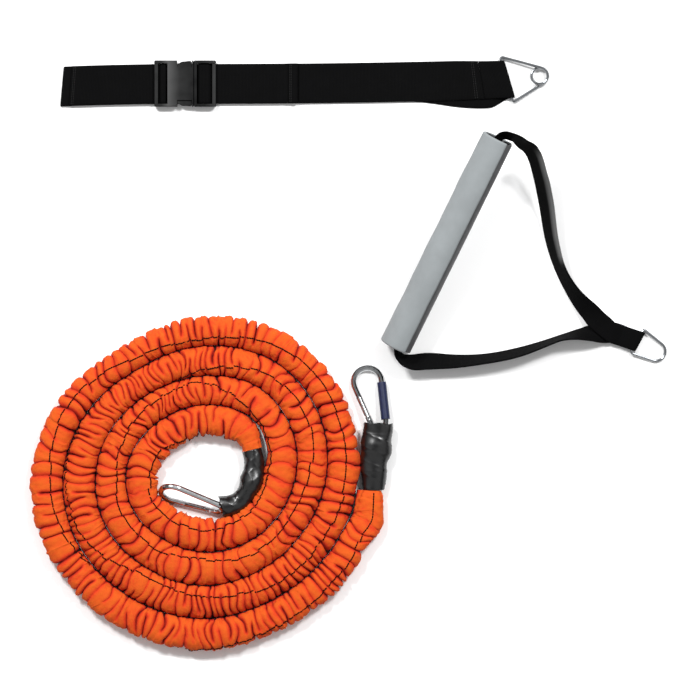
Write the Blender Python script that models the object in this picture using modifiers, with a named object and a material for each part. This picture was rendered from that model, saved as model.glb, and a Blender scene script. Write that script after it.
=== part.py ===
"""Resistance sprint trainer: a waist belt with a side-release buckle, a foam hand grip on a strap,
and a long elastic cord in a ruched sleeve with a snap hook at each end. Metres, +Z up.
All three pieces lie on the floor as they are laid out before use."""

import math

import bmesh
import bpy
import numpy as np
from mathutils import Matrix, Vector

# General clearances
GAP = 0.0003                      # between two solids that touch
OVERRUN = 0.002                   # how far a cutter runs past the face it opens
WELD = 0.00001                    # merge distance for a curve's loose caps
SHORTEST_STEP = 0.0015            # between two points of a line that is cut to length

LAYOUT_SHIFT = (0.0006, -0.0016)  # brings the middle of the two hard-ended pieces over the origin

# Belt webbing
WEBBING_WIDTH = 0.048
WEBBING_THICKNESS = 0.0018
BELT_PLACE = (-0.2040, 0.2455)    # mouth of the buckle on the floor
BELT_LEFT_RUN = 0.1585            # buckle mouth to the left fold
BELT_RIGHT_RUN = 0.3760           # buckle mouth to the ring's bar in the right fold
RETURN_STRAND_RUN = 0.1480        # buckle mouth to the sewn end of the left return strand
TAIL_RUN = 0.1240                 # buckle mouth to the end of the adjusting tail
TAIL_HEM = 0.0100
FRONT_START = 0.0390              # buckle mouth to where the front webbing begins
RING_FOLD_RUN = 0.0300            # length over which the front webbing comes down from the ring
LEFT_DROP = 0.0030                # how far the belt's left end lies below its middle line
RIGHT_RISE = 0.0055               # how far its right end lies above it
BACK_DIP = 0.0110                 # how far the back layer slips below the front one near the ring
BACK_DIP_START = 0.1200           # where that slip begins, before the ring's bar
BACK_DIP_REACH = 0.0260           # where it is deepest
LEFT_SLANT_SHARE = 0.0875         # slope of the left fold across the webbing
RIGHT_SLANT_SHARE = 0.29          # slope of the right fold
RIGHT_NARROW_SHARE = 0.07         # how much narrower the webbing gets in the ring
RIGHT_SLANT_START = 0.0700        # where that slope begins, before the ring's bar
FOLD_STEPS = 6

# Side-release buckle, measured from its mouth
BUCKLE_WIDTH = 0.0555
BUCKLE_THICKNESS = 0.0105
BUCKLE_EDGE = 0.0012
SOCKET_BODY_LENGTH = 0.0312
SOCKET_WELL_LENGTH = 0.0160       # the opening for the webbing, with its two bars
SOCKET_LENGTH = SOCKET_BODY_LENGTH + SOCKET_WELL_LENGTH
SOCKET_WALL = 0.0020
SOCKET_SIDE_WALL = 0.0026
SOCKET_OUTER_BAR = 0.0044
WINDOW_NEAR = 0.0018              # mouth to the window's near edge, the bridge that the arm hooks behind
WINDOW_FAR = 0.0198
WINDOW_DEPTH = 0.0078
PLUG_LENGTH = 0.0270
PLUG_FRONT_BAR = 0.0036
PLUG_OUTER_BAR = 0.0044
SLOT_SIDE_CLEARANCE = 0.0005
WRAP_RISE = 0.0060                # height of the webbing's loop over a middle bar, between centre lines
WRAP_LEAD = 0.0008
WRAP_SLOPE_RUN = 0.0033
WRAP_END_MARGIN = 0.0010
OUTER_BAR_TOP_MARGIN = 0.0012
BAR_END_MARGIN = 0.0004
TONGUE_LENGTH = 0.0225
TONGUE_WIDTH = 0.0160
ARM_ROOT_OFFSET = 0.0155          # belt middle line to the arm's root
ARM_ROOT_INSET = 0.0007           # mouth to the root's centre, inside the plug
ARM_ROOT_RADIUS = 0.0022
ARM_STEM = 0.0030
ARM_LENGTH = 0.0205
ARM_BUTTON_HEIGHT = 0.0005        # how far the button stands inside the buckle's side
ARM_CATCH_CLEARANCE = 0.0005
ARM_BUTTON_ROUND = 0.0030

# Ring of the belt, one wire with a sprung loop
RING_WIRE = 0.0035
RING_BAR_CORNER = 0.0025
RING_BAR_OVERHANG = 0.0032        # how far the bar runs straight on past the webbing's edges
RING_LOOP_RADIUS = 0.0098
RING_LOOP_REACH = 0.0392
RING_LOOP_OFFSET = -0.0071
RING_LOOP_PITCH = 0.0041
RING_LOOP_DROP = 0.0019
RING_LOOP_STEPS = 24

# Handle
HANDLE_PLACE = (0.0400, -0.0708)  # bottom end of the grip's middle line, on the floor
GRIP_LENGTH = 0.2790
GRIP_HEADING = 26.1               # degrees from +Y towards +X
GRIP_RISE = 10.0                  # degrees
GRIP_RADIUS = 0.0215
GRIP_WALL = 0.0040
GRIP_EDGE = 0.0012
SLIT_MIDDLE = -10.0               # degrees below the side that faces the ring
SLIT_HALF_ANGLE = 48.0
CORE_WALL = 0.0016
CORE_SETBACK = 0.0010
CORE_SIDES = 36
GRIP_STEPS = 32
STRAP_WIDTH = 0.0250
STRAP_THICKNESS = 0.0020
JOIN_PLACE = (0.2582, 0.0174)     # where the two strands come together, from the grip's bottom end
JOIN_HEADING = -18.5              # degrees from +X
JOIN_LENGTH = 0.0323
JOIN_OVERLAP_SHARE = 0.62         # share of the join that the lower strand's end covers
JOIN_RETURN_SHARE = 0.97          # share of the join that the return layer covers
RING_BAR_SKEW = 10.0              # degrees that the ring's bar turns from square
STRAP_ROWS_PER_SPAN = 3
# Upper strand: shares of the way from the grip's top to the join along X and Y, then height
# in strap widths, then how far the strap stands on its edge in degrees
UPPER_STRAND_SHARES = (
    (0.017, -0.012, 2.88, 70.0), (0.055, -0.017, 2.92, 72.0), (0.100, -0.010, 2.92, 72.0),
    (0.150, 0.001, 2.86, 71.0), (0.205, 0.023, 2.62, 62.0),
    (0.274, 0.054, 2.26, 54.0), (0.366, 0.187, 1.60, 50.0), (0.415, 0.307, 1.02, 48.0),
    (0.484, 0.542, 0.58, 56.0), (0.552, 0.673, 0.55, 62.0), (0.685, 0.809, 0.48, 50.0),
    (0.746, 0.854, 0.48, 38.0), (0.808, 0.893, 0.49, 25.0), (0.869, 0.935, 0.47, 8.0),
    (0.930, 0.966, 0.42, 0.0),
)
# Lower strand: shares of the join's distance along X and Y from the grip's bottom end
LOWER_STRAND_SHARES = (
    (0.972, 0.066, 0.172, 6.0), (0.944, 0.065, 0.240, 16.0), (0.916, 0.064, 0.332, 30.0),
    (0.884, 0.061, 0.432, 46.0), (0.833, 0.056, 0.516, 62.0), (0.763, 0.042, 0.550, 74.0),
    (0.689, 0.016, 0.544, 72.0), (0.572, -0.023, 0.528, 64.0), (0.387, -0.058, 0.512, 60.0),
    (0.247, -0.067, 0.464, 47.0), (0.187, -0.066, 0.472, 40.0), (0.131, -0.067, 0.500, 36.0),
    (0.073, -0.071, 0.580, 42.0), (0.031, -0.061, 0.690, 58.0), (0.007, -0.037, 0.780, 70.0),
)
# Strap inside the grip: share of the grip's length, tilt, and how far it is let down to the core
GRIP_STRAND_SHARES = (
    (0.05, 62.0, 0.0), (0.12, 59.0, 0.0), (0.5, 60.0, 1.0), (0.88, 64.0, 0.0), (0.95, 66.0, 0.0),
)
HANDLE_RING_WIRE = 0.0035
HANDLE_RING_REACH = 0.0258        # bar to the middle of the bow
HANDLE_RING_BOW = 0.0114          # radius of the bow
HANDLE_RING_CORNER = 0.0024
HANDLE_RING_OVERHANG = 0.0014     # how far the bar runs straight on past the strap's edges
HANDLE_RING_STEPS = 16

# Cord: route of the coil, from the outer end inwards, clockwise from above
COIL_CENTRE = (-0.1955, -0.2227)
COIL_RADIUS = 0.2115
COIL_PITCH = 0.0420
COIL_EASE = 0.0009                # how much the pitch closes up inwards, per turn
COIL_HEIGHT_SHARE = 0.937         # height of a turn over its width, seen from above
COIL_START_TURN_SHARE = 0.0667
COIL_END_TURN_SHARE = 3.82
COIL_POINTS = 20                  # a turn of middling size, for the bore and the elastic
# How far the coil lies outside the even spiral at each twelfth of a turn, a row a turn
COIL_SWAY = (
    (-0.003, -0.002, -0.001, 0.006, 0.002, -0.002,
     -0.005, -0.011, -0.014, 0.002, 0.011, 0.007),
    (-0.001, -0.004, -0.001, 0.004, 0.001, -0.002,
     -0.007, -0.009, -0.007, 0.003, 0.012, 0.008),
    (0.002, -0.003, -0.002, 0.001, -0.003, -0.003,
     -0.004, -0.005, -0.004, 0.003, 0.012, 0.009),
    (0.003, 0.000, -0.002, -0.007, -0.007, -0.004,
     -0.004, -0.007, -0.004, 0.003, 0.009, 0.009),
)
OUTER_LEAD = ((0.0119, -0.2431), (0.0105, -0.2724))   # straight run of the sleeve's outer end
INNER_LEAD = ((-0.1374, -0.1782), (-0.1336, -0.1940))  # and of its inner end
SLEEVE_HALF_WIDTH = 0.0205
SLEEVE_LEAD_HALF_WIDTH = 0.0176
SLEEVE_END_HALF_WIDTH = 0.0125
SLEEVE_END_TAPER = 0.0450
SLEEVE_FLAT_SHARE = 0.62          # height of the sleeve over its width
SLEEVE_TURN_GAP = 0.0009
SLEEVE_LEAD_TAPER = 0.0600        # run over which the outer end widens
SAME_TURN_RUN = 0.1500            # run within which the sleeve can't meet itself
SLEEVE_BORE_HALF_WIDTH = 0.0090
SLEEVE_BORE_HALF_HEIGHT = 0.0056
RIB_PITCH = 0.0210
RIB_VALLEY_SHARE = 0.86
RIB_WANDER_SHARE = 0.045
SLEEVE_SIDES = 8
ELASTIC_RADIUS = 0.0050
# Shrunk-on ends: places along each, then half width
OUTER_END = (
    (0.0180, -0.1626, 0.0130, 0.0165), (0.0166, -0.1752, 0.0130, 0.0162),
    (0.0152, -0.1884, 0.0130, 0.0180), (0.0133, -0.2076, 0.0120, 0.0147),
    (0.0126, -0.2184, 0.0111, 0.0150), (0.0121, -0.2304, 0.0105, 0.0135),
    (0.0120, -0.2425, 0.0105, 0.0114),
)
OUTER_END_FLAT_SHARE = 0.72
INNER_END = (
    (-0.1335, -0.1944, 0.0112, 0.0115), (-0.1314, -0.2034, 0.0115, 0.0117),
    (-0.1314, -0.2148, 0.0119, 0.0120), (-0.1338, -0.2304, 0.0133, 0.0138),
    (-0.1392, -0.2436, 0.0126, 0.0112), (-0.1494, -0.2556, 0.0126, 0.0114),
    (-0.1602, -0.2610, 0.0130, 0.0122), (-0.1704, -0.2628, 0.0130, 0.0132),
)
INNER_END_FLAT_SHARE = 0.95
END_STEPS_PER_SPAN = 3
CRIMP_LENGTH = 0.0090
CRIMP_WALL = 0.0018
CRIMP_PLACE_SHARE = 0.62          # where the crimp sits along a shrunk end, from the sleeve
CRIMP_BACK = 0.0030               # elastic that stands out past its crimp

# Snap hooks
HOOK_LENGTH = 0.0840
HOOK_TIP_WIDTH = 0.0408
HOOK_BASE_WIDTH = 0.0252
HOOK_ROD = 0.0072
HOOK_TIP_STEPS = 14
HOOK_BASE_STEPS = 9
GATE_PIVOT_RUN = 0.0090           # base of the hook to the gate's rivet, along the gate
GATE_LENGTH = 0.0280              # rivet to the gate's free end
GATE_HEEL = 0.0027                # rivet to the gate's other end
GATE_ROD = 0.0066
GATE_SHOULDER_CLEARANCE = 0.0006
NOSE_TONGUE_LENGTH = 0.0045
NOSE_TONGUE_THICKNESS = 0.0020
HEEL_TONGUE_LENGTH = 0.0025       # past the rivet
HEEL_TONGUE_THICKNESS = 0.0030
RIVET_RADIUS = 0.0012
SPRING_RADIUS = 0.0014
SPRING_WIRE_RADIUS = 0.00025
SPRING_LENGTH = 0.0110
SPRING_TURNS = 6
SPRING_POINTS = 6
GATE_BORE_RADIUS = 0.0020
SPINE_SLEEVE_SHARE = 0.893        # share of the hook's straight side that it covers
SPINE_SLEEVE_RADIUS = 0.0054
OUTER_HOOK_PLACE = (0.0179, -0.1612)
OUTER_HOOK_HEADING = 105.1        # degrees from +X to the tip
OUTER_HOOK_DIP = 8.0              # degrees that the tip lies below the base
INNER_HOOK_PLACE = (-0.1781, -0.2633)
INNER_HOOK_HEADING = 161.5
INNER_HOOK_DIP = -6.0
INNER_HOOK_ROLL = -57.0           # degrees that the gate's side is raised


# Scene, collections and finishes


def clear_objects():
    for thing in list(bpy.data.objects):
        bpy.data.objects.remove(thing, do_unlink=True)


def new_collection(name):
    made = bpy.data.collections.new(name)
    bpy.context.scene.collection.children.link(made)
    return made


clear_objects()
PARTS = new_collection("resistance_sprint_trainer")
CUTTERS = new_collection("cutters")


def finish(name, colour, roughness, metallic=0.0):
    made = bpy.data.materials.new(name)
    made.use_nodes = True
    shader = made.node_tree.nodes["Principled BSDF"]
    shader.inputs["Base Color"].default_value = (*colour, 1.0)
    shader.inputs["Roughness"].default_value = roughness
    shader.inputs["Metallic"].default_value = metallic
    made.diffuse_color = (*colour, 1.0)
    return made


BLACK_WEBBING = finish("black_webbing", (0.012, 0.012, 0.013), 0.85)
BUCKLE_PLASTIC = finish("buckle_plastic", (0.025, 0.025, 0.027), 0.38)
CHROME = finish("chrome", (0.80, 0.81, 0.82), 0.12, 1.0)
GREY_FOAM = finish("grey_foam", (0.42, 0.44, 0.44), 0.75)
GREY_CORE = finish("grey_core", (0.09, 0.09, 0.09), 0.6)
ORANGE_FABRIC = finish("orange_fabric", (0.90, 0.12, 0.015), 0.7)
LATEX = finish("latex", (0.10, 0.10, 0.10), 0.5)
SHRINK_BLACK = finish("shrink_black", (0.02, 0.02, 0.022), 0.35)
BLUE_VINYL = finish("blue_vinyl", (0.02, 0.03, 0.12), 0.45)
SPRING_STEEL = finish("spring_steel", (0.55, 0.55, 0.56), 0.3, 1.0)


# Small modelling helpers


def empty(name, place, parent=None, turn=None):
    made = bpy.data.objects.new(name, None)
    made.location = place
    if turn is not None:
        made.rotation_euler = turn.to_euler()
    made.parent = parent
    PARTS.objects.link(made)
    return made


def keep(thing, name, material, parent=None):
    thing.name = name
    thing.data.name = name
    thing.data.materials.clear()
    thing.data.materials.append(material)
    thing.parent = parent
    if thing.name not in PARTS.objects:
        PARTS.objects.link(thing)
    thing.data.shade_smooth()
    thing.data.set_sharp_from_angle(angle=math.radians(35.0))
    return thing


def as_cutter(thing, parent=None):
    thing.parent = parent
    if thing.name in PARTS.objects:
        PARTS.objects.unlink(thing)
    if thing.name not in CUTTERS.objects:
        CUTTERS.objects.link(thing)
    thing.hide_render = True
    thing.display_type = "WIRE"
    return thing


def boolean(thing, others, operation):
    for other in others:
        change = thing.modifiers.new(operation.lower() + "_" + other.name, "BOOLEAN")
        change.operation = operation
        change.solver = "EXACT"
        change.object = other


def cut(thing, *cutters):
    boolean(thing, cutters, "DIFFERENCE")


def object_from(work, name):
    mesh = bpy.data.meshes.new(name)
    work.to_mesh(mesh)
    work.free()
    return bpy.data.objects.new(name, mesh)


def box(name, low, high):
    work = bmesh.new()
    bmesh.ops.create_cube(work, size=1.0)
    low = Vector(low)
    high = Vector(high)
    bmesh.ops.scale(work, vec=high - low, verts=work.verts)
    bmesh.ops.translate(work, vec=(high + low) / 2, verts=work.verts)
    return object_from(work, name)


def rod(name, start, end, radius, sides):
    work = bmesh.new()
    start = Vector(start)
    end = Vector(end)
    run = end - start
    bmesh.ops.create_cone(
        work, cap_ends=True, segments=sides, radius1=radius, radius2=radius, depth=run.length
    )
    turn = run.to_track_quat("Z", "Y").to_matrix().to_4x4()
    bmesh.ops.transform(work, matrix=Matrix.Translation((start + end) / 2) @ turn, verts=work.verts)
    return object_from(work, name)


def soften(thing, width, segments=2, angle=40.0):
    change = thing.modifiers.new("soft_edges", "BEVEL")
    change.width = width
    change.segments = segments
    change.limit_method = "ANGLE"
    change.angle_limit = math.radians(angle)


def mesh_from_curve(curve_object, name):
    """The curve's evaluated surface as a closed mesh object, its caps welded on."""
    bpy.context.view_layer.update()
    graph = bpy.context.evaluated_depsgraph_get()
    mesh = bpy.data.meshes.new_from_object(curve_object.evaluated_get(graph))
    work = bmesh.new()
    work.from_mesh(mesh)
    bmesh.ops.remove_doubles(work, verts=work.verts, dist=WELD)
    bmesh.ops.recalc_face_normals(work, faces=work.faces)
    work.to_mesh(mesh)
    work.free()
    made = bpy.data.objects.new(name, mesh)
    made.matrix_world = curve_object.matrix_world
    data = curve_object.data
    bpy.data.objects.remove(curve_object)
    bpy.data.curves.remove(data)
    return made


def new_curve(name, dimensions):
    data = bpy.data.curves.new(name + "_curve", "CURVE")
    data.dimensions = dimensions
    made = bpy.data.objects.new(name + "_curve", data)
    PARTS.objects.link(made)
    return made


def add_spline(curve_object, points, closed, radii=None):
    spline = curve_object.data.splines.new("POLY")
    spline.points.add(len(points) - 1)
    for number, place in enumerate(points):
        spline.points[number].co = (*Vector(place).to_3d(), 1.0)
        spline.points[number].radius = 1.0 if radii is None else radii[number]
    spline.use_cyclic_u = closed


def tube(name, points, radius, radii=None, closed=False, resolution=2):
    """A round tube along the points; radii are multiples of the radius."""
    made = new_curve(name, "3D")
    made.data.twist_mode = "Z_UP"
    made.data.bevel_depth = radius
    made.data.bevel_resolution = resolution
    made.data.use_fill_caps = True
    add_spline(made, points, closed, radii)
    return mesh_from_curve(made, name)


def oval_tube(name, points, radii, flat, sides):
    """A tube whose section is an oval, wider than it is high; radii are half widths."""
    section = new_curve(name + "_section", "2D")
    around = [math.tau * (step + 0.5) / sides for step in range(sides)]
    fit = 1 / math.cos(math.pi / sides)
    add_spline(section, [(fit * math.cos(a), fit * flat * math.sin(a), 0) for a in around], True)
    made = new_curve(name, "3D")
    made.data.twist_mode = "Z_UP"
    made.data.bevel_mode = "OBJECT"
    made.data.bevel_object = section
    made.data.use_fill_caps = True
    add_spline(made, points, False, radii)
    shape = mesh_from_curve(made, name)
    data = section.data
    bpy.data.objects.remove(section)
    bpy.data.curves.remove(data)
    return shape


def plate(name, outlines, thickness):
    """Flat outlines, the inner ones holes, as thick as given about their own plane."""
    made = new_curve(name, "2D")
    made.data.fill_mode = "BOTH"
    made.data.extrude = thickness / 2
    for outline in outlines:
        add_spline(made, outline, True)
    return mesh_from_curve(made, name)


def arc(centre, radius, start, end, steps):
    """Points on an arc from one angle to another, in degrees, both ends included."""
    angles = [math.radians(start + (end - start) * step / steps) for step in range(steps + 1)]
    return [(centre[0] + radius * math.cos(a), centre[1] + radius * math.sin(a)) for a in angles]


def rounded(corners, radius, steps, closed=False):
    """The corners of a line, in two or three dimensions, replaced by short bends."""
    corners = [Vector(c) for c in corners]
    made = []
    count = len(corners)
    for number, corner in enumerate(corners):
        if not closed and number in (0, count - 1):
            made.append(corner)
            continue
        before = (corners[number - 1] - corner).normalized()
        after = (corners[(number + 1) % count] - corner).normalized()
        turn = math.pi - before.angle(after)
        reach = radius * math.tan(turn / 2)
        start = corner + before * reach
        end = corner + after * reach
        for step in range(steps + 1):
            share = step / steps
            made.append(
                start * (1 - share) ** 2 + corner * 2 * share * (1 - share) + end * share ** 2
            )
    return made


def along_line(line):
    """Distance of each point of a line from its start."""
    return np.concatenate([[0], np.cumsum(np.linalg.norm(np.diff(line, axis=0), axis=1))])


def hermite(start, pull_out, end, pull_in, t):
    return (
        (2 * t ** 3 - 3 * t ** 2 + 1) * start + (t ** 3 - 2 * t ** 2 + t) * pull_out
        + (3 * t ** 2 - 2 * t ** 3) * end + (t ** 3 - t ** 2) * pull_in
    )


def smooth_line(points, per_span):
    """A smooth line through the points, per_span steps from one to the next.

    Each point's first three numbers are its place, and the others change along with it."""
    p = np.array(points, dtype=float)
    spans = np.diff(along_line(p[:, :3]))
    slopes = np.diff(p, axis=0) / spans[:, None]
    heads = [slopes[0]]
    for number in range(1, len(spans)):
        before, after = spans[number - 1], spans[number]
        heads.append((slopes[number - 1] * after + slopes[number] * before) / (before + after))
    heads.append(slopes[-1])
    made = []
    for number, span in enumerate(spans):
        for step in range(per_span):
            made.append(hermite(
                p[number], heads[number] * span, p[number + 1], heads[number + 1] * span,
                step / per_span,
            ))
    made.append(p[-1])
    return made


def smooth_step(value):
    held = min(max(value, 0.0), 1.0)
    return held * held * (3 - 2 * held)


# Waist belt


def layer(number):
    """Middle height of a layer of webbing, the first one lying on the floor."""
    return WEBBING_THICKNESS / 2 + number * (WEBBING_THICKNESS + GAP)


BUCKLE_LOW = layer(1) - WEBBING_THICKNESS / 2
BUCKLE_HIGH = BUCKLE_LOW + BUCKLE_THICKNESS
RING_FOLD = RING_WIRE / 2 + 2 * GAP + WEBBING_THICKNESS / 2
RING_HEIGHT = layer(0) + RING_FOLD
WRAP_TURN = WRAP_RISE / 2
WRAP_REACH = WRAP_TURN + WEBBING_THICKNESS / 2 + GAP


def right_share(x):
    return max(x, 0.0) / BELT_RIGHT_RUN


def left_share(x):
    return max(-x, 0.0) / BELT_LEFT_RUN


def lay_front(x, y):
    """Where a point of the straight belt comes to lie: its ends drift and its folds slant."""
    drift = RIGHT_RISE * right_share(x) ** 2 - LEFT_DROP * left_share(x) ** 2
    slant = LEFT_SLANT_SHARE * left_share(x) ** 2
    near_ring = smooth_step((x - BELT_RIGHT_RUN + RIGHT_SLANT_START) / RIGHT_SLANT_START)
    y = y * (1 - RIGHT_NARROW_SHARE * near_ring)
    return x + (slant - RIGHT_SLANT_SHARE * near_ring) * y, y + drift


def lay_back(x, y):
    """The same for the back layer, which slips out below the front one near the ring."""
    laid_x, laid_y = lay_front(x, y)
    rise = smooth_step((x - BELT_RIGHT_RUN + BACK_DIP_START) / (BACK_DIP_START - BACK_DIP_REACH))
    fall = smooth_step((x - BELT_RIGHT_RUN + BACK_DIP_REACH) / BACK_DIP_REACH)
    return laid_x, laid_y - BACK_DIP * rise * (1 - fall)


def webbing(name, path, lay_below=None):
    """Webbing along a side-view path of x and z. Below the given height it lies as the back layer."""
    strip = new_curve(name, "2D")
    strip.data.extrude = WEBBING_WIDTH / 2
    add_spline(strip, [(x, z, 0) for x, z in path], False)
    made = mesh_from_curve(strip, name)
    for point in made.data.vertices:
        x, z, y = point.co
        lay = lay_back if lay_below is not None and z < lay_below else lay_front
        point.co = (*lay(x, y), z)
    body = made.modifiers.new("thickness", "SOLIDIFY")
    body.thickness = WEBBING_THICKNESS
    body.offset = 0.0
    body.use_even_offset = True
    return made


def wrap_path(side, well_edge, outer_bar_edge, strand_end, tail_end):
    """Webbing round a middle bar, from its load strand to its return strand.

    side is -1 for the socket and 1 for the plug; the well's edge is the one next to the body."""
    turn_at = well_edge + side * (WRAP_REACH + GAP)
    slope_end = outer_bar_edge - side * WRAP_END_MARGIN
    slope_start = slope_end - side * WRAP_SLOPE_RUN
    centre = (turn_at, layer(1) + WRAP_TURN)
    start, end = (-90.0, -270.0) if side > 0 else (-90.0, 90.0)
    path = [(strand_end, layer(1))]
    path += arc(centre, WRAP_TURN, start, end, FOLD_STEPS)
    path += [(slope_start, layer(1) + WRAP_RISE), (slope_end, layer(2)), (tail_end, layer(2))]
    return path


SOCKET_WELL = -SOCKET_BODY_LENGTH
SOCKET_BAR_EDGE = -SOCKET_LENGTH + SOCKET_OUTER_BAR
PLUG_START = GAP
PLUG_WELL = PLUG_START + PLUG_FRONT_BAR
PLUG_BAR_EDGE = PLUG_LENGTH - PLUG_OUTER_BAR


def bar_sections(side, well_edge, outer_bar_edge, end):
    """Side-view outlines of a buckle end's middle bar and outer bar."""
    low = layer(1) + WEBBING_THICKNESS / 2 + GAP
    high = layer(1) + WRAP_RISE - WEBBING_THICKNESS / 2 - GAP
    near = well_edge + side * (WRAP_REACH + GAP)
    far = outer_bar_edge - side * (WRAP_END_MARGIN + WRAP_SLOPE_RUN + WRAP_LEAD)
    outer_low = layer(2) + WEBBING_THICKNESS / 2 + GAP
    outer_high = BUCKLE_HIGH - OUTER_BAR_TOP_MARGIN
    edge = BAR_END_MARGIN
    middle = [(near, low), (far, low), (far, high), (near, high)]
    outer = [
        (outer_bar_edge, outer_low), (end - side * edge, outer_low),
        (end - side * edge, outer_high - edge), (end - side * 2 * edge, outer_high),
        (outer_bar_edge, outer_high),
    ]
    return middle, outer


def bar_well(name, side, well_edge, outer_bar_edge, end):
    """Cutter that opens a buckle end from rail to rail and leaves its two bars standing."""
    low = BUCKLE_LOW - OVERRUN
    high = BUCKLE_HIGH + OVERRUN
    past = end + side * OVERRUN
    frame = [(well_edge, low), (past, low), (past, high), (well_edge, high)]
    width = WEBBING_WIDTH + 2 * SLOT_SIDE_CLEARANCE
    shape = plate(name, [frame, *bar_sections(side, well_edge, outer_bar_edge, end)], width)
    upright = Matrix(((1, 0, 0, 0), (0, 0, -1, 0), (0, 1, 0, 0), (0, 0, 0, 1)))
    shape.data.transform(upright)
    return as_cutter(shape, BELT)


CAVITY_LOW = BUCKLE_LOW + SOCKET_WALL
CAVITY_HIGH = BUCKLE_HIGH - SOCKET_WALL
ARM_LOW = CAVITY_LOW + GAP
ARM_HIGH = CAVITY_HIGH - GAP


def make_socket():
    half = BUCKLE_WIDTH / 2
    body = box("socket", (-SOCKET_LENGTH, -half, BUCKLE_LOW), (0, half, BUCKLE_HIGH))
    soften(body, BUCKLE_EDGE)
    inner = half - SOCKET_SIDE_WALL
    cavity = box(
        "socket_cavity", (-SOCKET_BODY_LENGTH + SOCKET_WALL, -inner, CAVITY_LOW),
        (OVERRUN, inner, CAVITY_HIGH),
    )
    cutters = [as_cutter(cavity, BELT)]
    for side in (-1, 1):
        edges = sorted((side * (half - WINDOW_DEPTH), side * (half + OVERRUN)))
        window = box(
            "socket_window_" + ("upper" if side > 0 else "lower"),
            (-WINDOW_FAR, edges[0], BUCKLE_LOW - OVERRUN),
            (-WINDOW_NEAR, edges[1], BUCKLE_HIGH + OVERRUN),
        )
        cutters.append(as_cutter(window, BELT))
    cutters.append(bar_well("socket_well", -1, SOCKET_WELL, SOCKET_BAR_EDGE, -SOCKET_LENGTH))
    cut(body, *cutters)
    return keep(body, "buckle_socket", BUCKLE_PLASTIC, BELT)


def make_plug():
    half = BUCKLE_WIDTH / 2
    body = box("plug", (PLUG_START, -half, BUCKLE_LOW), (PLUG_LENGTH, half, BUCKLE_HIGH))
    soften(body, BUCKLE_EDGE)
    tongue = box(
        "plug_tongue", (-TONGUE_LENGTH, -TONGUE_WIDTH / 2, ARM_LOW),
        (PLUG_WELL / 2, TONGUE_WIDTH / 2, ARM_HIGH),
    )
    soften(tongue, BUCKLE_EDGE)
    boolean(body, [as_cutter(tongue, PLUG)], "UNION")
    cutters = [bar_well("plug_well", 1, PLUG_WELL, PLUG_BAR_EDGE, PLUG_LENGTH)]
    for side in (-1, 1):
        seat = rod(
            "arm_seat_" + ("upper" if side > 0 else "lower"),
            (ARM_ROOT_INSET, side * ARM_ROOT_OFFSET, ARM_LOW - GAP),
            (ARM_ROOT_INSET, side * ARM_ROOT_OFFSET, ARM_HIGH + GAP),
            ARM_ROOT_RADIUS + GAP, 20,
        )
        cutters.append(as_cutter(seat, PLUG))
    cut(body, *cutters)
    return keep(body, "buckle_plug", BUCKLE_PLASTIC, PLUG)


def arm_outline(side):
    """Outline of a spring arm seen from above, from its root, with its origin at the root."""
    stem = ARM_STEM / 2
    catch = WINDOW_NEAR + ARM_CATCH_CLEARANCE + ARM_ROOT_INSET
    face = BUCKLE_WIDTH / 2 - ARM_BUTTON_HEIGHT - ARM_ROOT_OFFSET
    length = ARM_LENGTH + ARM_ROOT_INSET
    root = arc((0, 0), ARM_ROOT_RADIUS, -132.0, 132.0, 12)
    button = [
        (-catch, stem), (-catch, face - ARM_BUTTON_ROUND / 2),
        (-catch - ARM_BUTTON_ROUND / 2, face),
    ]
    tip = arc(
        (-length + ARM_BUTTON_ROUND, face - 2 * ARM_BUTTON_ROUND),
        ARM_BUTTON_ROUND, 90.0, 180.0, 5,
    )
    lead = [(-length + 2 * ARM_BUTTON_ROUND, face - ARM_BUTTON_ROUND / 3)]
    back = [(-length, stem), (-length + ARM_BUTTON_ROUND, stem - ARM_STEM / 2), (-catch, -stem)]
    outline = [*root, *button, *lead, *tip, *back]
    return [(x, side * y) for x, y in outline]


def make_arm(side, holder):
    name = "buckle_arm_upper" if side > 0 else "buckle_arm_lower"
    arm = plate(name, [arm_outline(side)], ARM_HIGH - ARM_LOW)
    arm.location = (0, 0, (ARM_HIGH + ARM_LOW) / 2)
    return keep(arm, name, BUCKLE_PLASTIC, holder)


def belt_path():
    """Side view of the long belt webbing, from its sewn end round both folds."""
    left = wrap_path(
        -1, SOCKET_WELL, SOCKET_BAR_EDGE, -BELT_LEFT_RUN + layer(0), -RETURN_STRAND_RUN
    )
    left.reverse()
    fold_turn = (layer(1) - layer(0)) / 2
    left_fold = arc((-BELT_LEFT_RUN + layer(0), layer(0) + fold_turn), fold_turn, 90.0, 270.0, FOLD_STEPS)
    back_steps = 12
    span = BACK_DIP_START
    back = [(BELT_RIGHT_RUN - span * (1 - step / back_steps), layer(0)) for step in range(back_steps)]
    ring_fold = arc((BELT_RIGHT_RUN, RING_HEIGHT), RING_FOLD, -90.0, 90.0, 2 * FOLD_STEPS)
    down = [
        (BELT_RIGHT_RUN - RING_FOLD_RUN * share, layer(1) + (ring_fold[-1][1] - layer(1)) * height)
        for share, height in ((0.3, 0.72), (0.6, 0.22), (0.85, 0.0), (1.0, 0.0))
    ]
    return left[:-1] + left_fold + back + ring_fold + down


def tail_path():
    path = wrap_path(1, PLUG_WELL, PLUG_BAR_EDGE, FRONT_START, TAIL_RUN)
    fold_turn = (layer(3) - layer(2)) / 2
    hem = arc((TAIL_RUN, layer(2) + fold_turn), fold_turn, -90.0, 90.0, FOLD_STEPS)
    return path[:-1] + hem + [(TAIL_RUN - TAIL_HEM, layer(3))]


def front_path():
    start = FRONT_START + GAP
    end = BELT_RIGHT_RUN - RING_FOLD_RUN - GAP
    steps = 10
    return [(start + (end - start) * step / steps, layer(1)) for step in range(steps + 1)]


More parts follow.
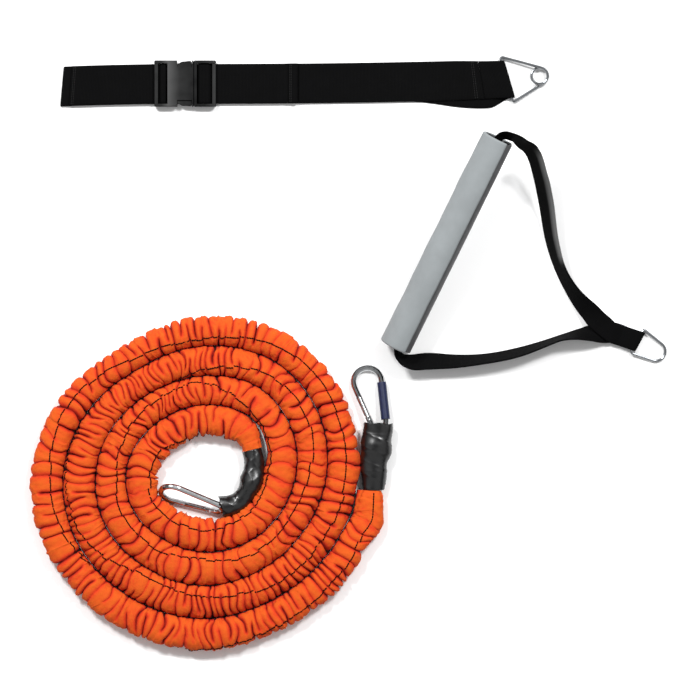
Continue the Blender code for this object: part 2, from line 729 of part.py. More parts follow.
def make_belt_webbing():
    between = (layer(0) + layer(1)) / 2
    long_webbing = webbing("belt_webbing", belt_path(), between)
    keep(long_webbing, "belt_webbing", BLACK_WEBBING, BELT)
    front = webbing("belt_front_webbing", front_path())
    keep(front, "belt_front_webbing", BLACK_WEBBING, BELT)
    tail = webbing("belt_tail_webbing", tail_path())
    keep(tail, "belt_tail_webbing", BLACK_WEBBING, PLUG)


def tangent_point(start, centre, radius, side):
    """Where a line from start touches a circle, and the line's heading in radians."""
    run = Vector(centre) - Vector(start)
    heading = math.atan2(run.y, run.x) - side * math.asin(radius / run.length)
    reach = math.sqrt(run.length ** 2 - radius ** 2)
    return (
        start[0] + reach * math.cos(heading), start[1] + reach * math.sin(heading)
    ), heading


def belt_ring_path():
    """The ring's wire, with x away from the bar and y along it: bar, leg, sprung loop, leg."""
    edge = WEBBING_WIDTH / 2 * (1 - RIGHT_NARROW_SHARE) * math.sqrt(1 + RIGHT_SLANT_SHARE ** 2)
    corner = edge + RING_WIRE / 2 + GAP + RING_BAR_OVERHANG
    loop = (RING_LOOP_REACH, RING_LOOP_OFFSET)
    low, heading_in = tangent_point((0, -corner), loop, RING_LOOP_RADIUS, 1)
    high, heading_out = tangent_point((0, corner), loop, RING_LOOP_RADIUS, -1)
    start = math.degrees(heading_in) - 90.0
    end = math.degrees(heading_out) + 90.0
    end += 360.0 * math.ceil((start + 450.0 - end) / 360.0)
    around = arc(loop, RING_LOOP_RADIUS, start, end, round(RING_LOOP_STEPS * (end - start) / 360.0))
    climb = RING_LOOP_PITCH * (end - start) / 360.0
    rise = [climb * step / (len(around) - 1) - RING_LOOP_DROP for step in range(len(around))]
    coil = [(x, y, z) for (x, y), z in zip(around, rise)]
    corners = rounded(
        [(0, 0, 0), (0, -corner, 0), (low[0], low[1], rise[0])], RING_BAR_CORNER, 4
    )[:-1]
    closing = rounded(
        [(high[0], high[1], rise[-1]), (0, corner, 0), (0, 0, 0)], RING_BAR_CORNER, 4
    )[1:-1]
    return corners + coil + closing


def make_belt_ring():
    ring = tube("belt_ring", belt_ring_path(), RING_WIRE / 2, closed=True)
    return keep(ring, "belt_ring", CHROME, BELT_RING)


# Handle


def grip_direction():
    heading = math.radians(GRIP_HEADING)
    rise = math.radians(GRIP_RISE)
    flat = math.cos(rise)
    return Vector((math.sin(heading) * flat, math.cos(heading) * flat, math.sin(rise)))


GRIP_BOTTOM = Vector((0, 0, GRIP_RADIUS * math.cos(math.radians(GRIP_RISE))))
GRIP_TOP = GRIP_BOTTOM + grip_direction() * GRIP_LENGTH
JOIN = Vector((*JOIN_PLACE, 0))
JOIN_AXIS = Vector((math.cos(math.radians(JOIN_HEADING)), math.sin(math.radians(JOIN_HEADING)), 0))
STRAP_FOLD = HANDLE_RING_WIRE / 2 + 2 * GAP + STRAP_THICKNESS / 2


def strap_layer(number):
    return STRAP_THICKNESS / 2 + number * (STRAP_THICKNESS + GAP)


HANDLE_RING_HEIGHT = strap_layer(0) + STRAP_FOLD
HANDLE_RING_PLACE = JOIN + JOIN_AXIS * JOIN_LENGTH + Vector((0, 0, HANDLE_RING_HEIGHT))


def ring_bar_side():
    """Direction along the ring's bar, turned a little from square to the strap."""
    square = Vector((-JOIN_AXIS.y, JOIN_AXIS.x, 0))
    return Matrix.Rotation(math.radians(-RING_BAR_SKEW), 3, "Z") @ square


def strap_side(along, tilt):
    """Direction across the strap, from its inner edge to its outer one."""
    level = Vector((-along.y, along.x, 0)).normalized()
    return level * math.cos(tilt) + along.cross(level) * math.sin(tilt)


def strap_route():
    """Middle line of the strap and its tilt, from the lower strand's sewn end to the upper one's."""
    cover = JOIN_LENGTH * JOIN_OVERLAP_SHARE
    route = [(*(JOIN + JOIN_AXIS * cover).xy, strap_layer(1), 0.0), (*JOIN.xy, strap_layer(1), 0.0)]
    reach = JOIN.x
    for x, y, z, tilt in LOWER_STRAND_SHARES:
        route.append((reach * x, reach * y, STRAP_WIDTH * z, tilt))
    along = grip_direction()
    room = GRIP_RADIUS - GRIP_WALL - GAP - CORE_WALL
    seat = room * math.cos(math.pi / CORE_SIDES) - math.hypot(STRAP_WIDTH, STRAP_THICKNESS) / 2 - GAP
    for share, tilt, seated in GRIP_STRAND_SHARES:
        down = strap_side(along, math.radians(tilt)) * seat * seated
        route.append((*(GRIP_BOTTOM.lerp(GRIP_TOP, share) - down), tilt))
    run = JOIN - GRIP_TOP
    for x, y, z, tilt in UPPER_STRAND_SHARES:
        place = (GRIP_TOP.x + run.x * x, GRIP_TOP.y + run.y * y, STRAP_WIDTH * z)
        route.append((*place, tilt))
    return route


def strap_rows():
    """Middle and half-width vector of each row of the strap."""
    line = smooth_line(strap_route(), STRAP_ROWS_PER_SPAN)
    rows = []
    for number, row in enumerate(line):
        before = line[max(number - 1, 0)]
        after = line[min(number + 1, len(line) - 1)]
        along = Vector(after[:3] - before[:3]).normalized()
        side = strap_side(along, math.radians(row[3]))
        rows.append((Vector(row[:3]), side * STRAP_WIDTH / 2))
    skew = ring_bar_side()
    square = Vector((-JOIN_AXIS.y, JOIN_AXIS.x, 0))
    full = skew / skew.dot(square) * STRAP_WIDTH / 2
    top = HANDLE_RING_HEIGHT + STRAP_FOLD
    upper_shares = ((0.0, 0.344 * STRAP_WIDTH), (0.35, 0.252 * STRAP_WIDTH), (0.7, top), (1.0, top))
    for share, height in upper_shares:
        place = JOIN + JOIN_AXIS * JOIN_LENGTH * share + Vector((0, 0, height))
        side = (square * STRAP_WIDTH / 2).lerp(full, smooth_step(share))
        rows.append((place, side))
    for angle in range(75, -91, -15):
        turn = math.radians(angle)
        out = JOIN_AXIS * math.cos(turn) * STRAP_FOLD
        rows.append((HANDLE_RING_PLACE + out + Vector((0, 0, STRAP_FOLD * math.sin(turn))), full))
    for share in (0.7, 0.35, 1 - JOIN_RETURN_SHARE):
        place = JOIN + JOIN_AXIS * JOIN_LENGTH * share + Vector((0, 0, strap_layer(0)))
        rows.append((place, (square * STRAP_WIDTH / 2).lerp(full, smooth_step(share))))
    return rows


def make_strap():
    """Loft of the twisting strap: a four-cornered section on each row, joined to the next."""
    rows = strap_rows()
    work = bmesh.new()
    rings = []
    for number, (middle, side) in enumerate(rows):
        before = rows[max(number - 1, 0)][0]
        after = rows[min(number + 1, len(rows) - 1)][0]
        rise = (after - before).cross(side).normalized() * STRAP_THICKNESS / 2
        corners = (middle - side - rise, middle + side - rise, middle + side + rise, middle - side + rise)
        rings.append([work.verts.new(corner) for corner in corners])
    for a, b in zip(rings, rings[1:]):
        for step in range(4):
            work.faces.new((a[step], a[step - 1], b[step - 1], b[step]))
    work.faces.new(rings[0])
    work.faces.new(rings[-1][::-1])
    bmesh.ops.recalc_face_normals(work, faces=work.faces)
    return keep(object_from(work, "handle_strap"), "handle_strap", BLACK_WEBBING, HANDLE)


def make_grip():
    """Slit foam tube on its core tube, both along the grip's own Z."""
    bore = GRIP_RADIUS - GRIP_WALL
    first = SLIT_MIDDLE + SLIT_HALF_ANGLE
    last = SLIT_MIDDLE - SLIT_HALF_ANGLE + 360.0
    outline = arc((0, 0), GRIP_RADIUS, first, last, GRIP_STEPS)
    outline += arc((0, 0), bore, last, first, GRIP_STEPS)
    foam = plate("foam_grip", [outline], GRIP_LENGTH)
    foam.location = (0, 0, GRIP_LENGTH / 2)
    soften(foam, GRIP_EDGE, 2, 50.0)
    keep(foam, "foam_grip", GREY_FOAM, GRIP)
    outer = bore - GAP
    last = 360.0 - 360.0 / CORE_SIDES
    rings = [arc((0, 0), radius, 0.0, last, CORE_SIDES - 1) for radius in (outer, outer - CORE_WALL)]
    core = plate("grip_core", rings, GRIP_LENGTH - 2 * CORE_SETBACK)
    core.location = (0, 0, GRIP_LENGTH / 2)
    keep(core, "grip_core", GREY_CORE, GRIP)


def make_handle_ring():
    """D-shaped ring: straight bar in the strap's fold and a round bow."""
    edge = STRAP_WIDTH / 2 / math.cos(math.radians(RING_BAR_SKEW))
    half = edge + HANDLE_RING_WIRE / 2 + GAP + HANDLE_RING_OVERHANG
    centre = (HANDLE_RING_REACH, 0)
    low, heading = tangent_point((0, -half), centre, HANDLE_RING_BOW, 1)
    reach = math.degrees(heading) - 90.0
    bow = arc(centre, HANDLE_RING_BOW, reach, -reach, HANDLE_RING_STEPS)
    corners = rounded([bow[-1], (0, half), (0, -half), low], HANDLE_RING_CORNER, 4)
    path = [(x, y, 0) for x, y in bow] + [(*c.to_2d(), 0) for c in corners[1:-1]]
    ring = tube("handle_ring", path, HANDLE_RING_WIRE / 2, closed=True)
    return keep(ring, "handle_ring", CHROME, HANDLE_RING)


# Cord


def coil_sway(turn):
    """The sway between the places of its table, smoothed over four of them."""
    table = [shift for row in COIL_SWAY for shift in row]
    place = turn * len(COIL_SWAY[0])
    number = math.floor(place)
    t = place - number
    a, b, c, d = (table[min(max(number + step, 0), len(table) - 1)] for step in (-1, 0, 1, 2))
    curve = (2 * a - 5 * b + 4 * c - d) * t ** 2 + (3 * b - a - 3 * c + d) * t ** 3
    return (2 * b + (c - a) * t + curve) / 2


def coil_point(turn):
    angle = math.tau * turn
    radius = COIL_RADIUS - COIL_PITCH * turn + COIL_EASE * turn ** 2 + coil_sway(turn)
    return np.array((
        COIL_CENTRE[0] + radius * math.cos(angle),
        COIL_CENTRE[1] - COIL_HEIGHT_SHARE * radius * math.sin(angle),
    ))


def bend(start, start_heading, end, end_heading, steps):
    """Points of a smooth bend between two headings, without its ends."""
    pull = np.linalg.norm(end - start)
    return [
        hermite(start, pull * start_heading, end, pull * end_heading, step / steps)
        for step in range(1, steps)
    ]


def unit(vector):
    return vector / np.linalg.norm(vector)


def sleeve_line():
    """Dense middle line of the sleeve with its half widths: straight run, coil, straight run.

    The sleeve is as wide as its nearest other turn leaves it room for, up to its own width."""
    fine = 96
    turns = np.arange(COIL_START_TURN_SHARE, COIL_END_TURN_SHARE, 1 / fine)
    coil = [coil_point(turn) for turn in turns]
    outer = list(np.linspace(*OUTER_LEAD, 6))
    inner = list(np.linspace(*INNER_LEAD, 6))
    steps = 8
    first = bend(outer[-1], unit(outer[1] - outer[0]), coil[0], unit(coil[1] - coil[0]), steps)
    last = bend(coil[-1], unit(coil[-1] - coil[-2]), inner[0], unit(inner[1] - inner[0]), steps)
    line = np.array([*outer, *first, *coil, *last, *inner])
    run = along_line(line)
    widths = []
    for place, at in zip(line, run):
        ease = smooth_step(at / SLEEVE_LEAD_TAPER - 1 / 2)
        own = SLEEVE_LEAD_HALF_WIDTH + (SLEEVE_HALF_WIDTH - SLEEVE_LEAD_HALF_WIDTH) * ease
        others = line[np.abs(run - at) > SAME_TURN_RUN]
        room = np.linalg.norm(others - place, axis=1).min() - SLEEVE_TURN_GAP
        widths.append(min(own, room / 2))
    return line, np.array(widths)


def sleeve_stations(step):
    """Evenly spaced places along the sleeve: point, half width before ribs, and middle height."""
    line, widths = sleeve_line()
    run = along_line(line)
    count = round(run[-1] / step)
    at = np.linspace(0, run[-1], count + 1)
    x = np.interp(at, run, line[:, 0])
    y = np.interp(at, run, line[:, 1])
    width = np.interp(at, run, widths)
    end = np.clip((at - run[-1] + SLEEVE_END_TAPER) / SLEEVE_END_TAPER, 0, 1)
    end = end * end * (3 - 2 * end)
    width = width + (SLEEVE_END_HALF_WIDTH - width) * end
    height = np.interp(at, run, widths) * SLEEVE_FLAT_SHARE
    height = height + (INNER_END[0][2] - height) * end
    return np.column_stack([x, y, height]), width


def least_gap(points, widths):
    """Least gap of the sleeve to itself, measured between stations more than a turn's half apart."""
    apart = 12
    best = math.inf
    for number in range(0, len(points) - apart, 2):
        rest = slice(number + apart, None)
        reach = np.linalg.norm(points[rest, :2] - points[number, :2], axis=1)
        gaps = reach - widths[rest] - widths[number]
        best = min(best, float(gaps.min()))
    return best


def make_sleeve():
    points, widths = sleeve_stations(RIB_PITCH / 2)
    number = np.arange(len(points))
    wander = 1 - RIB_WANDER_SHARE * (1 + np.sin(number * 1.9) * np.cos(number * 0.37)) / 2
    rib = np.where(number % 2 == 0, RIB_VALLEY_SHARE, 1.0)
    radii = widths * wander * rib
    sleeve = oval_tube("sleeve", [tuple(p) for p in points], list(radii), SLEEVE_FLAT_SHARE, SLEEVE_SIDES)
    bore_points = core_line()
    bore_widths = [SLEEVE_BORE_HALF_WIDTH] * len(bore_points)
    bore_flat = SLEEVE_BORE_HALF_HEIGHT / SLEEVE_BORE_HALF_WIDTH
    bore = oval_tube("sleeve_bore", bore_points, bore_widths, bore_flat, SLEEVE_SIDES)
    cut(sleeve, as_cutter(bore, LAYOUT))
    gap = least_gap(points, widths) * 1000
    print(f"sleeve: {sum_length(points):.3f} m long, least gap to itself {gap:.2f} mm")
    return keep(sleeve, "cord_sleeve", ORANGE_FABRIC, LAYOUT)


def sum_length(points):
    return float(np.linalg.norm(np.diff(points, axis=0), axis=1).sum())


def core_stations():
    """Places along the sleeve at the coil's own number of points a turn."""
    return sleeve_stations(math.tau * COIL_RADIUS / COIL_POINTS / 2)


def core_line():
    """Line of the sleeve's bore, run on past both ends."""
    points, _ = core_stations()
    start = points[0] + (points[0] - points[1]) * OVERRUN / np.linalg.norm(points[0] - points[1])
    end = points[-1] + (points[-1] - points[-2]) * OVERRUN / np.linalg.norm(points[-1] - points[-2])
    return [tuple(start)] + [tuple(p) for p in points] + [tuple(end)]


def end_line(route):
    """Smooth middle line of a shrunk end, with its half widths."""
    line = smooth_line(route, END_STEPS_PER_SPAN)
    return [tuple(p[:3]) for p in line], [float(p[3]) for p in line]


def end_core(route, reverse):
    """Part of an end's line that the elastic runs along, from the sleeve to past its crimp."""
    points, _ = end_line(route)
    if reverse:
        points = points[::-1]
    return points


def make_cord_end(name, route, flat, hook_cutter, reverse):
    """Shrunk-on cap, the crimp inside it, and the elastic's places through both."""
    points, widths = end_line(route)
    cap = oval_tube(name, points, widths, flat, 12)
    inside = end_core(route, reverse)
    run = along_line(np.array(inside))
    crimp_middle = run[-1] * CRIMP_PLACE_SHARE
    crimp_from = crimp_middle - CRIMP_LENGTH / 2
    crimp_to = crimp_middle + CRIMP_LENGTH / 2
    elastic_end = crimp_to + CRIMP_BACK
    core = line_part(inside, 0, elastic_end)
    wide = line_part(inside, crimp_from, crimp_to)
    start = (2 * Vector(inside[0]) - Vector(inside[1]))
    hole = tube(
        name + "_elastic_hole", [tuple(start), *line_part(inside, 0, elastic_end + OVERRUN)],
        ELASTIC_RADIUS + 2 * GAP, resolution=4,
    )
    pocket = tube(
        name + "_crimp_pocket",
        line_part(inside, crimp_from - GAP, crimp_to + GAP),
        ELASTIC_RADIUS + GAP + CRIMP_WALL + GAP, resolution=4,
    )
    cut(cap, as_cutter(pocket, LAYOUT), as_cutter(hole, LAYOUT), hook_cutter)
    keep(cap, name + "_cap", SHRINK_BLACK, LAYOUT)
    crimp = tube(name + "_crimp", wide, ELASTIC_RADIUS + GAP + CRIMP_WALL, resolution=4)
    crimp_hole = tube(
        name + "_crimp_hole",
        line_part(inside, crimp_from - OVERRUN, crimp_to + OVERRUN), ELASTIC_RADIUS + GAP, resolution=4,
    )
    cut(crimp, as_cutter(crimp_hole, LAYOUT))
    keep(crimp, name + "_crimp", SPRING_STEEL, LAYOUT)
    return core


def line_part(points, start, end):
    """The stretch of a line between two distances along it."""
    p = np.array(points)
    run = along_line(p)
    inner = [d for d in run if start + SHORTEST_STEP < d < end - SHORTEST_STEP]
    at = [start, *inner, end]
    return [tuple(float(np.interp(d, run, p[:, axis])) for axis in range(3)) for d in at]


def make_elastic(outer_core, inner_core):
    points, _ = core_stations()
    line = outer_core[:0:-1] + [tuple(p) for p in points] + inner_core[1:]
    elastic = tube("elastic", line, ELASTIC_RADIUS, resolution=1)
    return keep(elastic, "elastic_cord", LATEX, LAYOUT)


# Snap hooks


TIP_RADIUS = (HOOK_TIP_WIDTH - HOOK_ROD) / 2
BASE_RADIUS = (HOOK_BASE_WIDTH - HOOK_ROD) / 2
HOOK_REACH = HOOK_LENGTH - HOOK_TIP_WIDTH / 2 - HOOK_BASE_WIDTH / 2
HOOK_TAPER = math.asin((TIP_RADIUS - BASE_RADIUS) / HOOK_REACH)
GATE_LINE_START = Vector((-math.sin(HOOK_TAPER), math.cos(HOOK_TAPER), 0)) * BASE_RADIUS
GATE_LINE_AXIS = Vector((math.cos(HOOK_TAPER), math.sin(HOOK_TAPER), 0))
GATE_PIVOT = GATE_LINE_START + GATE_LINE_AXIS * GATE_PIVOT_RUN


def hook_path():
    """Middle line of the hook's rod, from its nose round the tip and the base to the rivet."""
    taper = math.degrees(HOOK_TAPER)
    nose = GATE_PIVOT + GATE_LINE_AXIS * (GATE_LENGTH - NOSE_TONGUE_LENGTH)
    heel = GATE_PIVOT + GATE_LINE_AXIS * HEEL_TONGUE_LENGTH
    tip = arc((HOOK_REACH, 0), TIP_RADIUS, 90.0 + taper, -90.0 - taper, HOOK_TIP_STEPS)
    base = arc((0, 0), BASE_RADIUS, -90.0 - taper, -270.0 + taper, HOOK_BASE_STEPS)
    return [nose.to_tuple(), *[(x, y, 0) for x, y in tip + base], heel.to_tuple()]


def slab_cutters(name, start, end, half_thickness, reach, parent):
    """Two boxes that thin a rod to a tongue between two places along the gate's line."""
    made = []
    for side, low, high in (("above", half_thickness, reach), ("below", -reach, -half_thickness)):
        slab = box(name + "_" + side, (start, -reach, low), (end, reach, high))
        made.append(as_cutter(slab, parent))
    return made


def make_hook(name, place, gate_line, gate_body):
    """Bent rod with its gate, rivet and gate spring. The gate's own frame has x along the gate."""
    rod_radius = HOOK_ROD / 2
    gate_radius = GATE_ROD / 2
    reach = rod_radius + OVERRUN
    frame = tube(name + "_hook", hook_path(), rod_radius, resolution=3)
    nose_start = GATE_LENGTH - NOSE_TONGUE_LENGTH
    shoulder = math.hypot(GATE_HEEL, gate_radius) + GAP
    hole = rod(name + "_rivet_hole", (0, 0, -reach), (0, 0, reach), RIVET_RADIUS + GAP, 12)
    as_cutter(hole, gate_line)
    cut(
        frame,
        *slab_cutters(
            name + "_nose", nose_start - OVERRUN, GATE_LENGTH + GATE_SHOULDER_CLEARANCE,
            NOSE_TONGUE_THICKNESS / 2, reach, gate_line,
        ),
        *slab_cutters(
            name + "_heel", -shoulder, HEEL_TONGUE_LENGTH + OVERRUN,
            HEEL_TONGUE_THICKNESS / 2, reach, gate_line,
        ),
        hole,
    )
    keep(frame, name + "_hook", CHROME, place)

    gate = rod(name + "_gate", (-GATE_HEEL, 0, 0), (GATE_LENGTH, 0, 0), gate_radius, 16)
    fork_end = math.hypot(HEEL_TONGUE_LENGTH, rod_radius) + GAP
    fork_half = HEEL_TONGUE_THICKNESS / 2 + GAP
    latch_half = NOSE_TONGUE_THICKNESS / 2 + GAP
    fork = box(
        name + "_gate_fork", (-GATE_HEEL - OVERRUN, -reach, -fork_half), (fork_end, reach, fork_half)
    )
    latch = box(
        name + "_gate_latch", (nose_start - GATE_SHOULDER_CLEARANCE, -reach, -latch_half),
        (GATE_LENGTH + OVERRUN, reach, latch_half),
    )
    spring_start = HEEL_TONGUE_LENGTH + GAP + SPRING_WIRE_RADIUS
    spring_end = spring_start + SPRING_LENGTH
    bore = rod(
        name + "_gate_bore", (fork_end - OVERRUN, 0, 0),
        (spring_end + SPRING_WIRE_RADIUS + GAP, 0, 0), GATE_BORE_RADIUS, 12,
    )
    cut(gate, *(as_cutter(piece, gate_body) for piece in (fork, latch, bore)), hole)
    keep(gate, name + "_gate", CHROME, gate_body)

    rivet = rod(name + "_rivet", (0, 0, -gate_radius), (0, 0, gate_radius), RIVET_RADIUS, 12)
    keep(rivet, name + "_gate_rivet", CHROME, gate_body)
    count = SPRING_TURNS * SPRING_POINTS
    curls = [
        (
            spring_start + SPRING_LENGTH * step / count,
            SPRING_RADIUS * math.cos(math.tau * step / SPRING_POINTS),
            SPRING_RADIUS * math.sin(math.tau * step / SPRING_POINTS),
        )
        for step in range(count + 1)
    ]
    spring = tube(name + "_spring", curls, SPRING_WIRE_RADIUS, resolution=0)
    keep(spring, name + "_gate_spring", SPRING_STEEL, gate_body)

    room = tube(name + "_cap_room", hook_path(), rod_radius + GAP, resolution=3)
    return as_cutter(room, place)


def make_spine_sleeve(place):
    """Plain sleeve on the straight side of the outer hook."""
    outer = arc((0, 0), SPINE_SLEEVE_RADIUS, 0.0, 337.5, 15)
    inner = arc((0, 0), HOOK_ROD / 2 + GAP, 0.0, 337.5, 15)
    straight = HOOK_REACH * math.cos(HOOK_TAPER)
    sleeve = plate("spine_sleeve", [outer, inner], straight * SPINE_SLEEVE_SHARE)
    middle = straight / 2
    along = Vector((GATE_LINE_AXIS.x, -GATE_LINE_AXIS.y, 0))
    start = Vector((GATE_LINE_START.x, -GATE_LINE_START.y, 0))
    turn = along.to_track_quat("Z", "Y").to_matrix().to_4x4()
    sleeve.data.transform(Matrix.Translation(start + along * middle) @ turn)
    return keep(sleeve, "hook_spine_sleeve", BLUE_VINYL, place)


def hook_turn(heading, dip, roll):
    """Hook frame: x to the tip, y to the gate's side, then dipped at the tip and rolled."""
    turn = Matrix.Rotation(math.radians(heading), 3, "Z")
    turn = turn @ Matrix.Rotation(math.radians(dip), 3, "Y")
    return turn @ Matrix.Rotation(math.radians(roll), 3, "X")


# Holders: an empty for each place, with moving pieces' empties on their joint's axis

LAYOUT = empty("layout_place", (*LAYOUT_SHIFT, 0))
BELT = empty("belt_place", (*BELT_PLACE, 0), LAYOUT)
PLUG = empty("plug_place", (0, 0, 0), BELT)
ring_x, ring_y = lay_front(BELT_RIGHT_RUN, 0)
ring_turn = Matrix.Rotation(math.atan(RIGHT_SLANT_SHARE), 3, "Z")
BELT_RING = empty("belt_ring_hinge", (ring_x, ring_y, RING_HEIGHT), BELT, ring_turn)
UPPER_ARM = empty("upper_arm_hinge", (ARM_ROOT_INSET, ARM_ROOT_OFFSET, 0), PLUG)
LOWER_ARM = empty("lower_arm_hinge", (ARM_ROOT_INSET, -ARM_ROOT_OFFSET, 0), PLUG)

HANDLE = empty("handle_place", (*HANDLE_PLACE, 0), LAYOUT)
grip_axis = grip_direction()
grip_side = Vector((0, 0, 1)).cross(grip_axis).normalized()
grip_turn = Matrix((-grip_side, -grip_axis.cross(grip_side), grip_axis)).transposed()
GRIP = empty("grip_axis", GRIP_BOTTOM, HANDLE, grip_turn)
bar_side = ring_bar_side()
bar_out = Vector((bar_side.y, -bar_side.x, 0))
ring_drop = HANDLE_RING_HEIGHT - HANDLE_RING_WIRE / 2 - GAP
ring_dip = math.asin(ring_drop / (HANDLE_RING_REACH + HANDLE_RING_BOW))
handle_ring_turn = Matrix((bar_out, bar_side, Vector((0, 0, 1)))).transposed()
handle_ring_turn = handle_ring_turn @ Matrix.Rotation(ring_dip, 3, "Y")
HANDLE_RING = empty("handle_ring_hinge", HANDLE_RING_PLACE, HANDLE, handle_ring_turn)

gate_turn = Matrix.Rotation(HOOK_TAPER, 3, "Z")
OUTER_HOOK = empty(
    "outer_hook_place", (*OUTER_HOOK_PLACE, OUTER_END[0][2]), LAYOUT,
    hook_turn(OUTER_HOOK_HEADING, OUTER_HOOK_DIP, 0.0),
)
OUTER_GATE = empty("outer_gate_hinge", GATE_PIVOT, OUTER_HOOK, gate_turn)
INNER_HOOK = empty(
    "inner_hook_place", (*INNER_HOOK_PLACE, INNER_END[-1][2]), LAYOUT,
    hook_turn(INNER_HOOK_HEADING, INNER_HOOK_DIP, INNER_HOOK_ROLL),
)
INNER_GATE = empty("inner_gate_hinge", GATE_PIVOT, INNER_HOOK, gate_turn)


def main():
    make_belt_webbing()
    make_socket()
    make_plug()
    make_arm(1, UPPER_ARM)
    make_arm(-1, LOWER_ARM)
    make_belt_ring()
    make_strap()
    make_grip()
    make_handle_ring()
    outer_room = make_hook("outer", OUTER_HOOK, OUTER_GATE, OUTER_GATE)
    inner_room = make_hook("inner", INNER_HOOK, INNER_GATE, INNER_GATE)
    make_spine_sleeve(OUTER_HOOK)
    outer_core = make_cord_end("outer_end", OUTER_END, OUTER_END_FLAT_SHARE, outer_room, True)
    inner_core = make_cord_end("inner_end", INNER_END, INNER_END_FLAT_SHARE, inner_room, False)
    make_sleeve()
    make_elastic(outer_core, inner_core)


main()
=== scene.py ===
"""Dressed model of a resistance sprint trainer, built around its packed frame. Metres, +Z up.

It is laid out as an add-on: sizes and colours in property groups, one operator for each group of
pieces, and a panel that lists them. Run as a script it builds everything once, in order."""

import math

import bmesh
import bpy
import numpy as np
from bpy.props import FloatProperty, FloatVectorProperty, IntProperty, PointerProperty
from mathutils import Matrix, Vector


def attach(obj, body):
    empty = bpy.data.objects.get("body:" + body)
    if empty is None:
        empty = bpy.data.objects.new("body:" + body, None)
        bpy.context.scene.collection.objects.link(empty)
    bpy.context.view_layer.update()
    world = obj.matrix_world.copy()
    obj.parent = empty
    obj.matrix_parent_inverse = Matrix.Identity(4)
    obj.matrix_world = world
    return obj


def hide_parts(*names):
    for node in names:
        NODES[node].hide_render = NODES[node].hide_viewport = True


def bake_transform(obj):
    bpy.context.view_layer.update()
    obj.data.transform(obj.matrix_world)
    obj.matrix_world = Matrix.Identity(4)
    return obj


bl_info = {
    "name": "Resistance Sprint Trainer",
    "version": (1, 0, 0),
    "blender": (4, 5, 0),
    "location": "3D View > Sidebar > Trainer",
    "description": "Dresses the trainer's belt, handle and sleeved elastic cord",
    "category": "Object",
}

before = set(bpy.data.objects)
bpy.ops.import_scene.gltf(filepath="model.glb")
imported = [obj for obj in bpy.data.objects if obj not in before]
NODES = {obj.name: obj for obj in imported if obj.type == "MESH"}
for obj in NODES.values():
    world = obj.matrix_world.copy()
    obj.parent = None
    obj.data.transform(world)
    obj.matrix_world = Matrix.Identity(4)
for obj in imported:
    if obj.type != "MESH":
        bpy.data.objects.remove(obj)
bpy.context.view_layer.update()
SHIFT = np.array((0.0006, -0.0016, 0.0))  # from the pieces' own layout to the frame
UP = (0, 0, 1.0)


# Settings


def number_setting(name, value, description, **kind):
    return FloatProperty(name=name, default=value, description=description, **kind)


def length_setting(name, value, description):
    return number_setting(name, value, description, unit="LENGTH", precision=4)


def colour_setting(name, value, description):
    return FloatVectorProperty(
        name=name, default=value, size=3, min=0.0, max=1.0, subtype="COLOR", description=description
    )


class TrainerStageSettings(bpy.types.PropertyGroup):
    """Camera, floor and light."""

    view_x: length_setting("View centre X", -0.0156, "Place under the camera")
    view_y: length_setting("View centre Y", -0.0760, "Place under the camera")
    view_width: length_setting("View width", 0.840, "Width of floor that the camera takes in")
    lens: number_setting("Lens", 200.0, "Focal length in millimetres")
    floor: colour_setting("Floor", (0.93, 0.93, 0.93), "Colour of the floor")
    key: number_setting("Key light", 104.0, "Light from the upper left", unit="POWER")
    second: number_setting("Second light", 92.0, "Light from the upper right", unit="POWER")
    sky: number_setting("Sky", 0.66, "Strength of the light from all round")


class TrainerCordSettings(bpy.types.PropertyGroup):
    """Ruched sleeve, elastic and shrunk ends."""

    orange: colour_setting("Cloth", (0.55, 0.086, 0.0085), "Colour of the sleeve's puffs")
    # the next three colours are painted shade, darkening the cloth's colour by its fold mark
    flank_shade: colour_setting("Flank", (0.55, 0.040, 0.0090), "Colour on the sides of its puffs")
    crease_shade: colour_setting("Crease", (0.27, 0.0075, 0.0050), "Colour deep in its folds")
    hollow_shade: colour_setting("Hollow", (0.016, 0.003, 0.003), "Colour low between two turns")
    thread: colour_setting("Thread", (0.006, 0.003, 0.003), "Colour of the seam")
    fold_scale: number_setting("Fold spacing", 1.00, "Scales the folds' spacing")
    fold_depth: number_setting(
        "Fold depth", 0.34, "Depth of a fold over the sleeve's radius", min=0.0, subtype="FACTOR"
    )
    ring_step: length_setting("Ring step", 0.00145, "Mean distance between the rings of points")
    sides: IntProperty(name="Sides", default=36, min=12, description="Points in each ring")
    stitch: length_setting("Stitch", 0.0043, "Length of a seam's stitch")
    stitch_pitch: length_setting("Stitch pitch", 0.0030, "From one stitch to the next")
    elastic: length_setting("Elastic", 0.0100, "Diameter of the elastic")
    shrink: colour_setting("Shrunk end", (0.0022, 0.0022, 0.0024), "Colour of the shrunk ends")
    seed: IntProperty(name="Seed", default=11, description="Starts the sleeve's chance folds")


class TrainerBeltSettings(bpy.types.PropertyGroup):
    """Waist belt."""

    black: colour_setting("Webbing", (0.0011, 0.0011, 0.0012), "Colour of belt and strap")
    rib: length_setting("Rib", 0.0017, "Distance between the webbing's cross ribs")
    row_step: length_setting("Row step", 0.0016, "Distance between rows of points along webbing")
    buckle: colour_setting("Buckle", (0.0018, 0.0019, 0.0020), "Colour of the buckle")


class TrainerHandleSettings(bpy.types.PropertyGroup):
    """Foam grip, rings and snap hooks."""

    foam: colour_setting("Foam", (0.225, 0.243, 0.250), "Colour of the grip")
    core: colour_setting("Core", (0.042, 0.042, 0.044), "Colour of the tube in the grip")
    steel: colour_setting("Hook steel", (0.43, 0.44, 0.45), "Colour of the snap hooks")
    ring: colour_setting("Ring steel", (0.21, 0.22, 0.23), "Colour of the two rings")


# Materials


